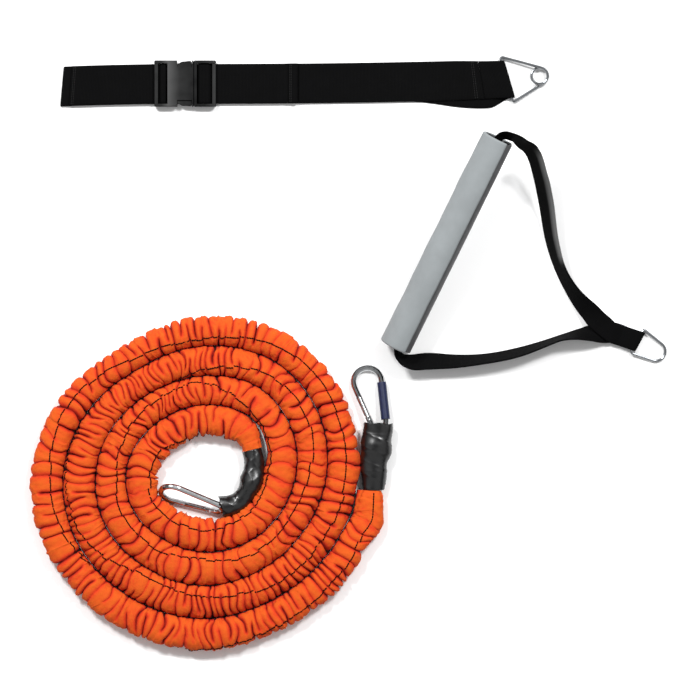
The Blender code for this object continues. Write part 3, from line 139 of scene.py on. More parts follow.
def node(tree, kind, inputs=None, output=0, **settings):
    """Adds a node, sets its settings, joins or sets its inputs, and gives one of its outputs."""
    made = tree.nodes.new("ShaderNode" + kind)
    for name, value in settings.items():
        setattr(made, name, value)
    for socket, value in (inputs or {}).items():
        if isinstance(value, bpy.types.NodeSocket):
            tree.links.new(value, made.inputs[socket])
        else:
            made.inputs[socket].default_value = value
    return made.outputs[output]


def colour_ramp(tree, factor, *stops):
    """Colours at places of a factor, from the lowest place to the highest."""
    made = node(tree, "ValToRGB", {"Fac": factor})
    bands = made.node.color_ramp.elements
    for end in (0, -1):
        bands[end].position, bands[end].color = stops[end][0], (*stops[end][1], 1.0)
    for place, colour in stops[1:-1]:
        bands.new(place).color = (*colour, 1.0)
    return made


def scaled(colour, share, more=0.0):
    return tuple(min(1.0, share * part + more) for part in colour)


class Finish:
    """A material in the making; its methods add nodes, and give the output to use next."""

    def __init__(self, name, colour, roughness, **sockets):
        self.material = bpy.data.materials.new(name)
        self.material.use_nodes = True
        self.material.diffuse_color = (*colour, 1.0)
        self.tree = self.material.node_tree
        self.shader = self.tree.nodes["Principled BSDF"]
        sockets.update(Base_Color=(*colour, 1.0), Roughness=roughness)
        for socket, value in sockets.items():
            self.shader.inputs[socket.replace("_", " ")].default_value = value

    def node(self, kind, inputs=None, output=0, **settings):
        return node(self.tree, kind, inputs, output, **settings)

    def drive(self, socket, source):
        self.tree.links.new(source, self.shader.inputs[socket])

    def place(self):
        return self.node("TexCoord", output="Object")

    def mark(self, name):
        return self.node("Attribute", output="Fac", attribute_name=name)

    def math(self, operation, *inputs):
        return self.node("Math", dict(enumerate(inputs)), operation=operation)

    def add(self, one, other):
        return self.node("VectorMath", {0: one, 1: other}, operation="ADD")

    def noise(self, scale, detail=4.0, roughness=0.55):
        return self.node("TexNoise", {
            "Vector": self.place(), "Scale": scale, "Detail": detail, "Roughness": roughness,
        })

    def tones(self, factor, low, high, start=0.35, end=0.65):
        return colour_ramp(self.tree, factor, (start, low), (end, high))

    def spread(self, factor, low, high, start=0.3, end=0.7):
        return self.node("MapRange", {
            "Value": factor, "From Min": start, "From Max": end, "To Min": low, "To Max": high,
        })

    def cloud(self, scale, detail, low, high, rough=(), start=0.35, end=0.65):
        """Clouds of two colours, and of two roughnesses where rough gives them."""
        clouds = self.noise(scale, detail)
        self.drive("Base Color", self.tones(clouds, low, high, start, end))
        if rough:
            self.drive("Roughness", self.spread(clouds, *rough))

    def bump(self, height, strength, distance, below=None):
        inputs = {"Height": height, "Strength": strength, "Distance": distance}
        if below is not None:
            inputs["Normal"] = below
        made = self.node("Bump", inputs)
        self.drive("Normal", made)
        return made

    def weave(self, rib, thread):
        """Ribs across webbing and fine threads along it, from its own map in metres."""
        parts = self.node("SeparateXYZ", {"Vector": self.node("UVMap", uv_map="cloth")}).node
        ribs, threads = (
            self.math("SINE", self.math("MULTIPLY", parts.outputs[axis], math.tau / pitch))
            for axis, pitch in (("X", rib), ("Y", thread))
        )
        return self.math("MULTIPLY_ADD", self.math("MULTIPLY", ribs, threads), 0.45, ribs)


def cloth_finish(settings):
    """Plain-woven orange cloth; painted shade reddens its folds and blackens low between turns."""
    made = Finish(
        "orange_cloth", settings.orange, 0.82, Sheen_Weight=0.03, Sheen_Roughness=0.4,
        Specular_IOR_Level=0.12,
    )
    # painted shade: the fold mark, a little mottled, darkens puffs' sides, creases and low gaps
    depth = made.math("MULTIPLY_ADD", made.noise(130.0, 5.0), 0.26, made.mark("fold"))
    made.drive("Base Color", colour_ramp(
        made.tree, depth, (0.10, settings.orange), (0.42, settings.flank_shade),
        (0.88, settings.crease_shade), (1.0, settings.hollow_shade),
    ))
    dents = made.bump(made.noise(150.0, 3.0, 0.6), 0.50, 0.0022)
    creases = made.bump(made.noise(420.0, 6.0, 0.6), 0.40, 0.0006, dents)
    made.bump(made.weave(0.0009, 0.0009), 0.25, 0.00008, creases)
    return made


def webbing_finish(name, colour, rib, grey_side=0.0):
    """Black ribbed webbing; it can be made greyer, by a given grey, where an attribute marks it."""
    made = Finish(name, colour, 0.82, Specular_IOR_Level=0.05)
    ribs = made.weave(rib, 0.0008)
    dust = made.math("MULTIPLY", made.noise(90.0, 5.0), 0.45)
    tone = made.math("MULTIPLY_ADD", ribs, 0.24, dust)
    cloth = made.tones(tone, colour, scaled(colour, 3.0), 0.10, 0.75)
    if grey_side:
        cloth = made.add(cloth, made.tones(made.mark("grey_side"), (0,) * 3, (grey_side,) * 3, 0.0, 1.0))
    made.drive("Base Color", cloth)
    made.bump(ribs, 0.55, 0.00016)
    return made


def moulded_finish(name, colour, roughness, grain, painted_sheen=(), **sockets):
    """Moulded plastic; a painted sheen can add grey to its colour at places along X, in metres."""
    made = Finish(name, colour, roughness, **sockets)
    cloud = made.noise(55.0)
    tone = made.tones(cloud, colour, scaled(colour, 1.55, 0.004))
    # painted sheen: grey added to the colour along X stands in for a highlight on the buckle
    if painted_sheen:
        first, last = painted_sheen[0][0], painted_sheen[-1][0]
        along = made.node("SeparateXYZ", {"Vector": made.place()}, "X")
        tone = made.add(tone, colour_ramp(made.tree, made.spread(along, 0.0, 1.0, first, last), *(
            ((place - first) / (last - first), (grey,) * 3) for place, grey in painted_sheen
        )))
    made.drive("Base Color", tone)
    made.drive("Roughness", made.spread(cloud, roughness - 0.07, roughness + 0.10))
    made.bump(made.noise(grain, 3.0), 0.22, 0.00012)
    return made


def steel_finish(name, colour, roughness, marks):
    made = Finish(name, colour, roughness, Metallic=1.0)
    rough = (roughness + 0.10, roughness)
    made.cloud(240.0, 5.0, scaled(colour, 0.80), colour, rough, 0.28, 0.50)
    made.bump(made.noise(marks), 0.12, 0.00008)
    return made


def foam_finish(colour):
    made = Finish("foam", colour, 0.83, Sheen_Weight=0.08, Specular_IOR_Level=0.3)
    made.cloud(38.0, 6.0, scaled(colour, 0.90), colour)
    cells = made.node("TexVoronoi", {"Vector": made.place(), "Scale": 1500.0})
    made.bump(made.noise(700.0, 5.0), 0.35, 0.00030, made.bump(cells, 0.28, 0.00020))
    return made


def shrink_finish(colour):
    made = Finish("shrunk_tube", colour, 0.30, Specular_IOR_Level=0.62)
    made.cloud(110.0, 5.0, colour, scaled(colour, 1.8), (0.26, 0.36))
    made.bump(made.noise(60.0, 1.0), 0.40, 0.0024)
    return made


# Making pieces


def place_piece(made, body, slot, finish, *nodes):
    """Finishes a piece: its material, its body and the frame's solids it stands for; slot is not
    used.

    A piece with no body is left unattached."""
    bpy.context.scene.collection.objects.link(made)
    made.data.materials.append(finish.material)
    if body:
        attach(made, body)
    if nodes:
        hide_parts(*nodes)
    return made


def dress(finish, *names):
    """Gives carried-over solids their material."""
    for name in names:
        NODES[name].data.materials.clear()
        NODES[name].data.materials.append(finish.material)


def mesh_object(work, name):
    mesh = bpy.data.meshes.new(name)
    work.to_mesh(mesh)
    work.free()
    mesh.shade_smooth()
    return bpy.data.objects.new(name, mesh)


def skin(name, places, along, across, marks=None, closed=True):
    """A grid laid on rows of places, joined round its section, its ends closed or joined.

    along and across give each row's and column's place on the cloth, in metres. marks names
    attributes with a value for each place."""
    rows, columns, _ = places.shape
    work = bmesh.new()
    bmesh.ops.create_grid(work, x_segments=columns, y_segments=rows - 1, size=1.0)
    mesh = bpy.data.meshes.new(name)
    work.to_mesh(mesh)
    work.free()

    def wrapped(values):
        return np.concatenate([values, values[:, :1]], axis=1).reshape(-1).astype(np.float32)

    mesh.vertices.foreach_set("co", wrapped(places))
    corner = np.empty(len(mesh.loops), dtype=np.int32)
    mesh.loops.foreach_get("vertex_index", corner)
    around = np.append(across, 2 * across[-1] - across[-2])
    uv = np.stack([along[corner // (columns + 1)], around[corner % (columns + 1)]], axis=1)
    layer = mesh.uv_layers.new(name="cloth")
    layer.data.foreach_set("uv", uv.reshape(-1).astype(np.float32))
    for mark, values in (marks or {}).items():
        held = mesh.attributes.new(mark, "FLOAT", "POINT")
        held.data.foreach_set("value", wrapped(values))
    work = bmesh.new()
    work.from_mesh(mesh)
    bpy.data.meshes.remove(mesh)
    bmesh.ops.remove_doubles(work, verts=work.verts, dist=1e-6)
    if closed:
        edges = [edge for edge in work.edges if edge.is_boundary]
        bmesh.ops.holes_fill(work, edges=edges, sides=0)
    bmesh.ops.recalc_face_normals(work, faces=work.faces)
    return mesh_object(work, name)


def along_line(line):
    return np.concatenate([[0], np.cumsum(np.linalg.norm(np.diff(line, axis=0), axis=1))])


def evenly(line, step):
    """The line at even steps of about the given length; every column is carried along."""
    run = along_line(line[:, :3])
    at = np.linspace(0, run[-1], max(2, round(run[-1] / step)) + 1)
    return np.column_stack([np.interp(at, run, column) for column in line.T]), at


def unit(vectors):
    return vectors / np.linalg.norm(vectors, axis=-1, keepdims=True)


def hermite(start, pull_out, end, pull_in, t):
    return (
        (2 * t ** 3 - 3 * t ** 2 + 1) * start + (t ** 3 - 2 * t ** 2 + t) * pull_out
        + (3 * t ** 2 - 2 * t ** 3) * end + (t ** 3 - t ** 2) * pull_in
    )


def smooth_line(points, per_span):
    """A smooth line through points, every column carried along."""
    points = np.array(points, dtype=float)
    spans = np.diff(along_line(points[:, :3]))[:, None]
    slopes = np.diff(points, axis=0) / spans
    before, after = spans[:-1], spans[1:]
    between = (slopes[:-1] * after + slopes[1:] * before) / (before + after)
    heads = np.concatenate([slopes[:1], between, slopes[-1:]])
    t = np.arange(per_span)[:, None] / per_span
    made = [
        hermite(points[n], heads[n] * span, points[n + 1], heads[n + 1] * span, t)
        for n, span in enumerate(spans)
    ]
    return np.concatenate([*made, points[-1:]])


def smooth_step(value):
    held = np.clip(value, 0.0, 1.0)
    return held * held * (3 - 2 * held)


def stitches(name, places, heads, ups, length, width, finish, body, slot):
    """One small stitch at each place, along its head and lying on the cloth under its up."""
    work = bmesh.new()
    for place, head, up in zip(places, heads, ups):
        head = Vector(head).normalized()
        side = Vector(up).cross(head).normalized()
        lift = head.cross(side)
        turn = Matrix((head * length / 2, side * width / 2, lift * width / 2)).transposed()
        bmesh.ops.create_icosphere(
            work, subdivisions=1, radius=1.0,
            matrix=Matrix.Translation(Vector(place)) @ turn.to_4x4(),
        )
    return place_piece(mesh_object(work, name), body, slot, finish)


# Route of the cord, as the frame has it

COIL_CENTRE = (-0.1955, -0.2227)
COIL_RADIUS = 0.2115
COIL_PITCH = 0.0420
COIL_EASE = 0.0009  # how much the pitch closes up inwards, per turn
COIL_HEIGHT_SHARE = 0.937  # height of a turn over its width, seen from above
COIL_TURNS = (0.0667, 3.82)
# How far the coil strays outwards at each twelfth of a turn, in millimetres
COIL_SWAY = (
    -3, -2, -1, 6, 2, -2, -5, -11, -14, 2, 11, 7, -1, -4, -1, 4, 1, -2, -7, -9, -7, 3, 12, 8,
    2, -3, -2, 1, -3, -3, -4, -5, -4, 3, 12, 9, 3, 0, -2, -7, -7, -4, -4, -7, -4, 3, 9, 9,
)
OUTER_LEAD = ((0.0119, -0.2431), (0.0105, -0.2724))  # straight run of the sleeve's outer end
INNER_LEAD = ((-0.1374, -0.1782), (-0.1336, -0.1940))  # and of its inner end
# Middle lines of the two shrunk ends, with their half widths
OUTER_END = (
    (0.0180, -0.1626, 0.0130, 0.0165), (0.0166, -0.1752, 0.0130, 0.0162),
    (0.0152, -0.1884, 0.0130, 0.0180), (0.0133, -0.2076, 0.0120, 0.0147),
    (0.0126, -0.2184, 0.0111, 0.0150), (0.0121, -0.2304, 0.0105, 0.0135),
    (0.0120, -0.2425, 0.0105, 0.0114),
)
INNER_END = (
    (-0.1335, -0.1944, 0.0112, 0.0115), (-0.1314, -0.2034, 0.0115, 0.0117),
    (-0.1314, -0.2148, 0.0119, 0.0120), (-0.1338, -0.2304, 0.0133, 0.0138),
    (-0.1392, -0.2436, 0.0126, 0.0112), (-0.1494, -0.2556, 0.0126, 0.0114),
    (-0.1602, -0.2610, 0.0130, 0.0122), (-0.1704, -0.2628, 0.0130, 0.0132),
)
# Where the seam lies round the sleeve at each twelfth of a turn, in degrees: 0 is the outer side
# of the coil, 90 the top; it goes on past both ways as the sleeve turns about itself
SEAM = (
    90, 78, 60, 15, -120, -230, -254, -284, -264, -238, -270, -276,
    -285, -285, -276, -246, -240, -300, -330, -375, -500, -590, -630, -642,
    -624, -618, -624, -593, -615, -612, -606, -624, -647, -663, -603, -575,
    -585, -593, -600, -618, -615, -606, -600, -606, -577, -530, -520,
)
LEAD_SEAM = 88.0
# At the seam's places: millimetres from one fold to the next, and how many of ten folds run in from
# one edge only, by turns from the inside and the outside
FOLD_SPACING = (
    14, 12, 10, 9, 12, 13, 15, 13, 12, 9, 12, 16, 15, 11, 9, 8, 8, 9, 9, 8, 7, 7, 12, 14,
    14, 13, 11, 11, 13, 14, 12, 8, 7, 8, 14, 17, 15, 13, 12, 12, 13, 14, 13, 9, 9, 9, 14,
)
SERPENTINE = (
    2, 2, 5, 9, 4, 4, 3, 3, 5, 9, 3, 0, 0, 3, 4, 4, 4, 4, 5, 7, 9, 9, 3, 0,
    0, 2, 3, 3, 3, 2, 4, 9, 10, 9, 3, 1, 1, 2, 3, 2, 2, 2, 5, 10, 10, 9, 2,
)
# Along the cord's first stretch: distance, then half width towards and away from the outside
LEAD_WIDTHS = (
    (0.0, 0.0126, 0.0200), (0.006, 0.0140, 0.0228), (0.030, 0.0142, 0.0228),
    (0.052, 0.0185, 0.0222), (0.060, 0.0178, 0.0215), (0.068, 0.0128, 0.0212),
    (0.084, 0.0170, 0.0210), (0.110, 0.0190, 0.0228),
)
# Half widths of a turn that lies alone and of one close beside another, outside and inside
TURN_WIDTHS = ((0.0190, 0.0212), (0.0212, 0.0228))
SKIRT_WIDTH = 0.0237  # furthest that its lower edge reaches under a neighbour
CLOSE_TURNS = (0.060, 0.012)  # middle lines this far apart start to touch, and over this much more
HALF_TURN_GAP, HALF_SKIRT_GAP = 0.0002, 0.0003
FLOOR_GAP = 0.0005
SAME_TURN_RUN = 0.15  # run within which the sleeve can't meet itself
END_TAPER = 0.0450
RISE_RUN = 0.0600  # run over which the sleeve grows to its full height
END_HALF_WIDTH, END_HALF_HEIGHT = 0.0125, 0.0112
LEAD_HALF_HEIGHT, HALF_HEIGHT_MORE = 0.0176, 0.0029
FLAT_SHARE = 0.62  # height of the sleeve over its width
BORE_HALF_WIDTH, BORE_HALF_HEIGHT = 0.0090, 0.0056
# Where the folds come to their full depth from each end, and the run over which they do
FOLDS_START, FOLDS_START_RUN = 0.056, 0.016
FOLDS_END, FOLDS_END_RUN = 0.046, 0.024
DRIFT_RUN = 0.050
DOME_GAP = 0.0085  # the wider the gap between two folds over this, the flatter the puff
WAVE_LENGTHS, DRIFT_LENGTHS, CRINKLE_LENGTHS = (0.006, 0.017), (0.045, 0.110), (0.018, 0.036)
OUTER_GATHER, INNER_GATHER = 0.030, 0.026  # runs over which the sleeve's ends are pleated
GROOVE_END, GROOVE_RUN = 0.075, 0.020  # the seam's groove in the first stretch
TUCK_RUN = 0.006


def twelfths(table, turn):
    """Values between those of a table with one for each twelfth of a turn, smoothed over four."""
    place = turn * 12
    number = np.floor(place).astype(int)
    t = place - number
    a, b, c, d = (np.take(table, number + step, mode="clip") for step in (-1, 0, 1, 2))
    curve = (2 * a - 5 * b + 4 * c - d) * t ** 2 + (3 * b - a - 3 * c + d) * t ** 3
    return (2 * b + (c - a) * t + curve) / 2


def coil_line(turn):
    angle = math.tau * turn
    sway = twelfths(COIL_SWAY, turn) / 1000
    radius = COIL_RADIUS - COIL_PITCH * turn + COIL_EASE * turn ** 2 + sway
    return np.column_stack([
        COIL_CENTRE[0] + radius * np.cos(angle),
        COIL_CENTRE[1] - COIL_HEIGHT_SHARE * radius * np.sin(angle),
    ])


def turn_bend(before, after, steps=8):
    """Points of a smooth bend from the end of one line to the start of the next."""
    start, end = before[-1], after[0]
    pull = np.linalg.norm(end - start)
    heading, end_heading = unit(before[-1] - before[-2]), unit(after[1] - after[0])
    t = np.arange(1, steps)[:, None] / steps
    return hermite(start, pull * heading, end, pull * end_heading, t)


class SleeveRoute:
    """Middle line of the sleeve with its frame: places, sides, half widths and heights."""

    def __init__(self):
        turns = np.arange(*COIL_TURNS, 1 / 96)
        coil = coil_line(turns)
        outer, inner = (np.linspace(*lead, 6) for lead in (OUTER_LEAD, INNER_LEAD))
        first, last = turn_bend(outer, coil), turn_bend(coil, inner)
        line = np.concatenate([outer, first, coil, last, inner])
        run = along_line(line)
        before, after = len(outer) + len(first), len(last) + len(inner)
        every = np.pad(turns, (before, after), mode="edge")
        self.spacing = twelfths(FOLD_SPACING, every) / 1000
        self.serpentine = twelfths(SERPENTINE, every) / 10
        self.seam = twelfths(SEAM, every)
        self.seam[:before] = LEAD_SEAM
        headings = unit(np.gradient(line, axis=0))
        sides = np.column_stack([-headings[:, 1], headings[:, 0]])
        ahead = line[None, :] - line[:, None]
        apart = np.linalg.norm(ahead, axis=2)
        apart[np.abs(run[:, None] - run[None, :]) <= SAME_TURN_RUN] = 1.0
        outside = np.einsum("ijk,ik->ij", ahead, sides) > 0
        end = smooth_step((run - run[-1] + END_TAPER) / END_TAPER)
        lead, *lead_widths = np.array(LEAD_WIDTHS).T
        self.widths, self.skirts, self.beside = [], [], []
        for held, (alone, widest), lead_width in zip(
            (outside, ~outside), TURN_WIDTHS, lead_widths
        ):
            near = np.where(held, apart, 1.0).min(axis=1)
            close = smooth_step((CLOSE_TURNS[0] - near) / CLOSE_TURNS[1])
            own = np.where(
                run < lead[-1], np.interp(run, lead, lead_width), alone + (widest - alone) * close
            )
            own = np.minimum(own, near / 2 - HALF_TURN_GAP)
            self.widths.append(own + (END_HALF_WIDTH - own) * end)
            self.skirts.append(np.minimum(near / 2 - HALF_SKIRT_GAP, SKIRT_WIDTH))
            self.beside.append(close * (1 - end))
        half = LEAD_HALF_HEIGHT + HALF_HEIGHT_MORE * smooth_step(run / RISE_RUN - 0.5)
        self.height = half * FLAT_SHARE + (END_HALF_HEIGHT - half * FLAT_SHARE) * end
        self.length = run[-1]
        self.run = run
        self.line = line + SHIFT[:2]
        self.fine = np.linspace(0, run[-1], 1200)
        points = np.column_stack([self.at(self.fine, column) for column in self.line.T])
        self.heads = unit(np.gradient(points, axis=0))
        for _ in range(2):
            padded = np.pad(self.heads, ((3, 3), (0, 0)), mode="edge")
            self.heads = unit(sum(padded[n:n + len(points)] for n in range(7)))

    def at(self, s, values):
        return np.interp(s, self.run, values)

    def towards(self, s, phi, pair):
        """A value of the outer side or the inner side, whichever the angle is on."""
        return np.where(np.cos(phi) > 0, self.at(s, pair[0]), self.at(s, pair[1]))

    def middle(self, s):
        columns = (*self.line.T, self.height)
        return np.stack([self.at(s, column) for column in columns], axis=-1)

    def side(self, s):
        """Direction across the sleeve, towards the coil's outside."""
        x, y = (np.interp(s, self.fine, column) for column in self.heads.T)
        size = np.hypot(x, y)
        return np.stack([-y / size, x / size, np.zeros_like(x)], axis=-1)


class Ruching:
    """Folds of the sleeve: where each crosses, how it slants, how deep it is round the sleeve."""

    FULL, OUTSIDE, INSIDE, PINCH = range(4)

    def __init__(self, route, settings):
        chance = np.random.default_rng(settings.seed)
        places, kinds = [0.0], [self.FULL]
        while places[-1] < route.length:
            at = places[-1]
            spacing = route.at(at, route.spacing) * settings.fold_scale
            one_sided = chance.random() < route.at(at, route.serpentine)
            kind = self.PINCH if chance.random() < 0.16 else self.FULL
            if one_sided:
                kind = self.INSIDE if kinds[-1] == self.OUTSIDE else self.OUTSIDE
            uneven = 0.16 if one_sided else 0.34
            places.append(at + spacing * chance.uniform(1 - uneven, 1 + uneven))
            kinds.append(kind)
        places[-1] = route.length
        self.places = np.array(places)
        self.kind = np.array(kinds)
        self.length = route.length
        count = len(places)
        gaps = np.diff(self.places)
        gaps = np.minimum(np.append(gaps, gaps[-1]), np.append(gaps[0], gaps))
        self.slant = gaps * chance.uniform(-0.12, 0.12, count)
        self.arch = gaps * chance.uniform(-0.08, 0.08, count)
        self.curl = gaps * chance.uniform(-0.05, 0.05, count)
        self.hook = gaps * chance.choice((-1.0, 1.0), count) * chance.uniform(0.10, 0.18, count)
        self.lean = np.exp(chance.uniform(-0.32, 0.32, count))
        self.phase = chance.uniform(0, math.tau, (3, count))
        self.depth = settings.fold_depth * chance.uniform(0.40, 1.30, count)
        self.depth *= 1 - 0.85 * smooth_step((FOLDS_START - self.places) / FOLDS_START_RUN)
        to_end = self.places - route.length
        self.depth *= 1 - 0.80 * smooth_step((to_end + FOLDS_END) / FOLDS_END_RUN)
        self.edge = chance.uniform(-0.80, -0.15, count)
        self.swell = chance.uniform(-0.080, 0.060, count)
        self.wide = chance.uniform(-0.130, 0.030, (2, count))
        self.soft = chance.uniform(0.42, 0.80, count)
        self.step = np.radians(chance.uniform(-5, 5, count))
        for table in (self.slant, self.arch, self.curl, self.hook, self.depth):
            table[[0, -1]] = 0.0
        self.waves = [
            (math.tau / chance.uniform(*WAVE_LENGTHS), int(chance.integers(-5, 6)),
             chance.uniform(0, math.tau), chance.uniform(0.5, 1.0)) for _ in range(9)
        ]
        self.drifts = [
            (math.tau / chance.uniform(*DRIFT_LENGTHS), int(chance.integers(1, 3)),
             *chance.uniform(0, math.tau, 2)) for _ in range(6)
        ]
        self.crinkles = [
            (math.tau / chance.uniform(*CRINKLE_LENGTHS), int(chance.choice((-3, -2, -1, 1, 2, 3))),
             *chance.uniform(0, math.tau, 3)) for _ in range(5)
        ]

    def drift(self, s, phi):
        """How far the folds near a place wander along the sleeve together."""
        drift = sum(
            0.115 / wave * np.sin(wave * s + start) * np.cos(turns * phi + turned)
            for wave, turns, start, turned in self.drifts
        )
        return drift * smooth_step(s / DRIFT_RUN) * smooth_step((self.length - s) / DRIFT_RUN)

    def crinkle(self, s, phi):
        """Small creases that come and go, from 0 to about 1."""
        creases = 0.0
        for wave, turns, start, bent, held in self.crinkles:
            line = wave * s + turns * phi + start + 1.2 * np.sin(2.3 * wave * s + 2 * phi + bent)
            shown = np.maximum(0.0, np.sin(0.37 * wave * s + phi + held))
            creases = creases + shown * (1 - np.abs(np.sin(line))) ** 2.5
        return creases

    def crossing(self, number, phi):
        """Where along the sleeve a fold crosses an angle round it."""
        kind = self.kind[number]
        run_in = np.cos(phi) * np.where(kind == self.INSIDE, -1.0, 1.0) - self.edge[number]
        one_sided = (kind == self.INSIDE) | (kind == self.OUTSIDE)
        hooked = self.hook[number] * smooth_step((0.55 - run_in) / 0.55)
        return (
            self.places[number] + self.slant[number] * np.cos(phi)
            + self.arch[number] * np.cos(2 * phi + self.phase[0, number])
            + self.curl[number] * np.sin(3 * phi + self.phase[1, number])
            + self.drift(self.places[number], phi) + np.where(one_sided, hooked, 0.0)
        )

    def rings(self, step):
        """Every ring of the sleeve: the fold before it and its share of the way to the next."""
        low, share = [], []
        for number, gap in enumerate(np.diff(self.places)):
            count = max(5, round(gap / step))
            low += [number] * count
            share += list(0.5 - 0.5 * np.cos(math.pi * np.arange(count) / count))
        return np.array(low + [low[-1]]), np.array(share + [1.0])

    def along(self, low, share, phi):
        start, end = self.crossing(low, phi), self.crossing(low + 1, phi)
        return start + (end - start) * share

    def find(self, s, phi):
        """The fold before each place and the place's share of the way to the next fold."""
        last = len(self.places) - 2
        low = first = np.clip(np.searchsorted(self.places, s) - 1, 0, last)
        for step in (-2, -1, 1, 2):
            number = np.clip(first + step, 0, last)
            held = (self.crossing(number, phi) <= s) & (s <= self.crossing(number + 1, phi))
            low = np.where(held, number, low)
        start, end = self.crossing(low, phi), self.crossing(low + 1, phi)
        return low, np.clip((s - start) / (end - start), 0.0, 1.0)

    def reach(self, number, phi):
        """Depth of a fold at a place round the sleeve."""
        across = np.cos(phi)
        edge = self.edge[number]
        lean = np.cos(phi - self.phase[2, number])
        shares = (
            0.84 + 0.16 * lean, 1.15 * smooth_step((across - edge) / 0.22),
            1.15 * smooth_step((-across - edge) / 0.22), smooth_step((lean + 0.10) / 0.6),
        )
        kinds = [self.kind[number] == kind for kind in range(len(shares))]
        return self.depth[number] * (1 + 0.28 * np.abs(across) ** 3) * np.select(kinds, shares)

    def relief(self, low, share, phi, s):
        """How far out the cloth lies at a place, as a share, and its fold, which sets painted
        shade.
        """
        gap = self.places[low + 1] - self.places[low]
        u = np.abs(2 * share ** self.lean[low] - 1)
        dome = np.maximum(0.0, 1 - u ** (1.4 + gap / DOME_GAP)) ** self.soft[low]
        depth = self.reach(low, phi) * (1 - share) + self.reach(low + 1, phi) * share
        ripple = sum(
            size * np.sin(wave * s + turns * phi + phase)
            for wave, turns, phase, size in self.waves
        ) / len(self.waves)
        across = np.cos(phi)
        wide = np.where(across > 0, self.wide[0, low], self.wide[1, low]) * np.abs(across) ** 2
        swell = (self.swell[low] * np.sin(phi) ** 2 + wide) * dome
        crinkle = self.crinkle(s, phi)
        relief = 1.02 - depth * (1 - dome) + swell + 0.080 * ripple - 0.060 * crinkle
        # painted shade mark: deep in folds, toward creases across a puff, and in small crinkles
        fold = depth * ((1 - dome) * 2.0 + 0.7 * u ** 3) + 0.14 * crinkle
        return relief, np.clip(fold, 0, 0.78)


def sleeve_surface(route, ruching, s, phi, low=None, share=None):
    """Places on the ruched cloth at distances along and angles round it, and their painted shade.
    """
    if low is None:
        low, share = ruching.find(s, phi)
    relief, fold = ruching.relief(low, share, phi, s)
    near_end = np.maximum(
        smooth_step((OUTER_GATHER - s) / OUTER_GATHER),
        smooth_step((s - route.length + INNER_GATHER) / INNER_GATHER),
    )
    relief = relief - 0.055 * near_end * (1 + np.cos(9 * phi + 2 * np.sin(phi)))
    from_seam = phi - math.radians(LEAD_SEAM)
    groove = smooth_step((GROOVE_END - s) / GROOVE_RUN) * np.exp(-(from_seam / 0.20) ** 2)
    tuck = 1 - 0.20 * smooth_step((TUCK_RUN - s) / TUCK_RUN) - 0.085 * groove
    beside = route.towards(s, phi, route.beside)
    skirt = beside * smooth_step((0.20 - np.sin(phi)) / 0.25)
    held = relief + (np.minimum(relief, 1.0) - relief) * beside
    width = route.towards(s, phi, route.widths) * held * tuck * (0.985 + 0.010 * beside)
    height = route.at(s, route.height) * relief * tuck
    share_across = np.abs(np.cos(phi))
    reach = share_across ** 0.88 * width
    low_reach = share_across ** 0.5 * route.towards(s, phi, route.skirts)
    across = np.sign(np.cos(phi)) * (reach + (low_reach - reach) * skirt)
    # painted shade: cloth low beside a neighbouring turn is marked fully shaded, near black
    fold = fold + (1.0 - fold) * skirt
    up = np.sign(np.sin(phi)) * np.abs(np.sin(phi)) ** 0.88 * height
    places = route.middle(s) + route.side(s) * across[..., None]
    places[..., 2] = np.maximum(places[..., 2] + up, FLOOR_GAP + 0.0004 * fold)
    return places, fold


# Operators, one for each group of pieces

# Greys of the sky, from straight below to straight above
SKY_ENDS = ((0.05, 0.05, 0.055), (0.13, 0.13, 0.135))
SKY_BANDS = ((0.34, 0.06), (0.50, 0.98), (0.92, 1.0), (0.975, 0.11))
LAMP_SIZE = 0.60
LAMP_AIM = Vector((0, -0.05, 0))


class TrainerStage(bpy.types.Operator):
    """Set up the camera straight above, the pale floor and the soft light."""

    bl_idname = "trainer.stage"
    bl_label = "Stage"

    def execute(self, context):
        scene = context.scene
        settings = scene.trainer_stage
        lens = bpy.data.cameras.new("camera")
        lens.lens = settings.lens
        lens.sensor_width = 36.0
        lens.clip_end = 60.0
        camera = bpy.data.objects.new("camera", lens)
        height = settings.view_width * settings.lens / lens.sensor_width
        camera.location = (settings.view_x, settings.view_y, height + 0.012)
        scene.collection.objects.link(camera)
        scene.camera = camera
        scene.view_settings.view_transform = "Standard"

        work = bmesh.new()
        bmesh.ops.create_grid(work, x_segments=1, y_segments=1, size=6.0)
        bmesh.ops.translate(work, vec=(0, 0, -0.0003), verts=work.verts)
        floor = mesh_object(work, "floor")
        paint = Finish("floor_paint", settings.floor, 0.85, Specular_IOR_Level=0.1)
        floor.data.materials.append(paint.material)
        scene.collection.objects.link(floor)

        for name, power, place in (
            ("key_light", settings.key, (-1.3, 1.7, 2.7)),
            ("second_light", settings.second, (1.3, 1.6, 2.7)),
        ):
            lamp = bpy.data.lights.new(name, "AREA")
            lamp.energy = power
            lamp.size = LAMP_SIZE
            made = bpy.data.objects.new(name, lamp)
            made.location = place
            made.rotation_euler = (LAMP_AIM - Vector(place)).to_track_quat("-Z", "Y").to_euler()
            scene.collection.objects.link(made)

        scene.world = bpy.data.worlds.new("studio")
        scene.world.use_nodes = True
        tree = scene.world.node_tree
        way = node(tree, "TexCoord", output="Generated")
        upwards = node(tree, "SeparateXYZ", {"Vector": way}, "Z")
        bands = [(place, (grey,) * 3) for place, grey in SKY_BANDS]
        sky = colour_ramp(tree, upwards, (0.0, SKY_ENDS[0]), *bands, (1.0, SKY_ENDS[1]))
        background = tree.nodes["Background"]
        tree.links.new(sky, background.inputs["Color"])
        background.inputs["Strength"].default_value = settings.sky
        return {"FINISHED"}


